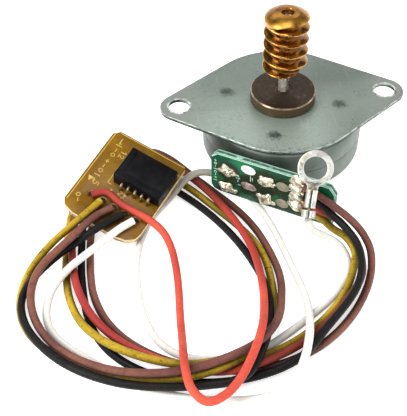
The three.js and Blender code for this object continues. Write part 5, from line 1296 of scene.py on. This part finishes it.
# printed outline of the header and plain reference marks
marks = [
    [(-2.9, -1.1), (-2.9, 7.6), (8.1, 7.6)], [(-2.9, -1.1), (-2.1, -1.1)],
    [(-7.55, -8.1), (-7.55, 9.3)],
    [(-6.6, 9.75), (8.0, 9.75)],
]
lb_print = strokes("lead_board_print", marks, 0.17, LB, M_SILK_CREAM)
txt = []
txt += glyphs("1", (-5.0, 8.7), 1.3, math.radians(180))
txt += glyphs("|-o", (-6.0, 7.4), 1.15, math.radians(-90), 1.05)
txt += glyphs("+-o|+", (-6.1, 3.2), 1.15, math.radians(-90), 1.05)
txt += glyphs("12", (-4.3, 6.6), 1.1, math.radians(-90), 1.0)
txt += glyphs("5", (-5.4, -2.0), 1.2, math.radians(-90))
txt += glyphs("1", (-2.4, -2.2), 1.1, math.radians(-60))
txt += glyphs("23", (0.0, -2.2), 0.95, math.radians(-20))
txt += glyphs("o-", (-6.9, -6.3), 1.15, math.radians(-60))
txt += glyphs("++", (3.8, -7.6), 1.0, math.radians(-10))
lb_text = strokes("lead_board_marks", txt, 0.19, LB, M_SILK_CREAM)
tri = obj_from("lead_board_arrow", [(-6.9, -1.6, 0.02), (-5.7, -1.6, 0.02), (-6.3, -2.7, 0.02), (-6.9, -1.6, -0.02), (-5.7, -1.6, -0.02), (-6.3, -2.7, -0.02)],
               [(0, 2, 1), (3, 4, 5), (0, 1, 4, 3), (1, 2, 5, 4), (2, 0, 3, 5)], LB, 30, [M_SILK_CREAM])
for o in (lb_print, lb_text, tri):
    done(o, "stator", ())

# ------------------------------------------------------------------ header
HX0, HX1, HY0, HY1, HH = -2.0, 8.2, -0.5, 6.6, 3.4
to_xz = LB @ Matrix(((1, 0, 0, 0), (0, 0, -1, 0), (0, 1, 0, 0), (0, 0, 0, 1)))  # local (x, z, -y)
rect = lambda x0, x1, y0, y1, r=0.25: rounded([(x0, y0), (x1, y0), (x1, y1), (x0, y1)], r, 4)
shell = plate("hd_shell", rect(HX0, HX1, 0.06, HH), -HY1, -(HY0 + 1.4), [rect(HX0 + 0.8, HX1 - 0.8, 0.75, HH - 0.7, 0.15)], bevel=0.12, matrix=to_xz, mats=[M_HEADER], res=2)
back = block("hd_back", HX0, HX1, HY0, HY0 + 1.45, 0.06, HH, 0.14, 3, LB, [M_HEADER])
ribs = [block(f"hd_rib{k}", x - 0.4, x + 0.4, HY0 + 1.6, HY1 - 0.5, HH - 0.02, HH + 0.10, 0.04, 2, LB, [M_HEADER]) for k, x in enumerate((HX0 + 1.0, HX1 - 1.0))]
HEADER = done(join("header_housing", [shell, back, *ribs]), "stator", ["board_connector"])
for k, x in enumerate((0.1, 1.6, 3.1, 4.6, 6.1)):
    pts = [(x, HY1 - 1.7, 1.55), (x, HY0 - 0.15, 1.55), (x, HY0 - 0.42, 1.50), (x, HY0 - 0.62, 1.34), (x, HY0 - 0.72, 1.1), (x, HY0 - 0.75, 0.0), (x, HY0 - 0.75, -1.9)]
    t = tube(f"contact_pin_{k + 1}", pts, [0.24, 0.27, 0.27, 0.27, 0.27, 0.27, 0.2], M_PIN, 16, LB)
    done(t, "stator", [f"contact_{k + 1}"])


# ------------------------------------------------------------------ stage and light
def make_stage():
    """A light table with a low white surround far away, so that level views end in white."""
    R, H, seg = 3.0, 1.1, 96
    prof = [(0.0, 0.0), (0.25, 0.0), (0.8, 0.0), (2.2, 0.0), (2.75, 0.06), (2.95, 0.3), (R, H)]
    verts, faces = [(0, 0, 0)], []
    for r, z in prof[1:]:
        for j in range(seg):
            a = 2 * math.pi * j / seg
            verts.append((r * math.cos(a), r * math.sin(a), z))
    for j in range(seg):
        faces.append((0, 1 + j, 1 + (j + 1) % seg))
    for i in range(len(prof) - 2):
        for j in range(seg):
            k = (j + 1) % seg
            faces.append((1 + i * seg + j, 1 + (i + 1) * seg + j, 1 + (i + 1) * seg + k, 1 + i * seg + k))
    me = bpy.data.meshes.new("floor")
    me.from_pydata(verts, [], faces)
    floor = bpy.data.objects.new("floor", me)
    bpy.context.scene.collection.objects.link(floor)
    m = Mat("floor_white", (0.93, 0.93, 0.93), 0.85)
    m.set(color=m.mix(m.step(m.noise(0.004, 2.0), 0.3, 0.7), (0.93, 0.93, 0.93), (0.90, 0.90, 0.90)))
    # its own glow holds the white under soft light, and rises where the lights fall off
    x, y, z = m.xyz()
    c = m.n("ShaderNodeCombineXYZ")
    m.put(c.inputs[0], x)
    m.put(c.inputs[1], y)
    l = m.n("ShaderNodeVectorMath", operation="LENGTH")
    m.put(l.inputs[0], c.outputs[0])
    glow = m.step(l.outputs["Value"], 0.2, 1.2, 0.62, 0.95)
    m.b.inputs["Emission Color"].default_value = (1, 1, 1, 1)
    m.put(m.b.inputs["Emission Strength"], glow)
    me.materials.append(m.m)


make_stage()


def area(name, at, target, size, power, size_y=None, color=(1, 1, 1)):
    li = bpy.data.lights.new(name, "AREA")
    li.energy = power
    li.color = color
    li.shape = "RECTANGLE"
    li.size = size
    li.size_y = size_y or size
    ob = bpy.data.objects.new(name, li)
    ob.location = at
    d = Vector(target) - Vector(at)
    ob.rotation_euler = d.to_track_quat("-Z", "Y").to_euler()
    bpy.context.scene.collection.objects.link(ob)
    return ob


world = bpy.data.worlds.new("studio")
bpy.context.scene.world = world
world.use_nodes = True
bg = world.node_tree.nodes["Background"]
bg.inputs[0].default_value = (1, 1, 1, 1)
bg.inputs[1].default_value = 0.17
area("key", (-0.34, -0.14, 0.40), (0, -0.02, 0.0), 0.22, 2.3, 0.42)
area("fill", (0.32, -0.32, 0.30), (0, -0.02, 0.0), 0.05, 0.28, 0.30)
area("side", (0.42, 0.02, 0.30), (0, -0.02, 0.0), 0.20, 0.42, 0.30)
area("back", (0.00, 0.40, 0.42), (0, -0.02, 0.0), 0.50, 0.7, 0.16)
area("strip_left", (-0.34, -0.26, 0.30), (0, 0, 0.025), 0.018, 0.28, 0.26)
area("strip_right", (0.06, -0.42, 0.31), (0, 0, 0.025), 0.014, 0.16, 0.22)
area("top", (0.00, -0.05, 0.60), (0, -0.02, 0.0), 0.22, 0.9, 0.22)
bpy.context.scene.view_settings.view_transform = "Standard"
bpy.context.scene.view_settings.look = "None"
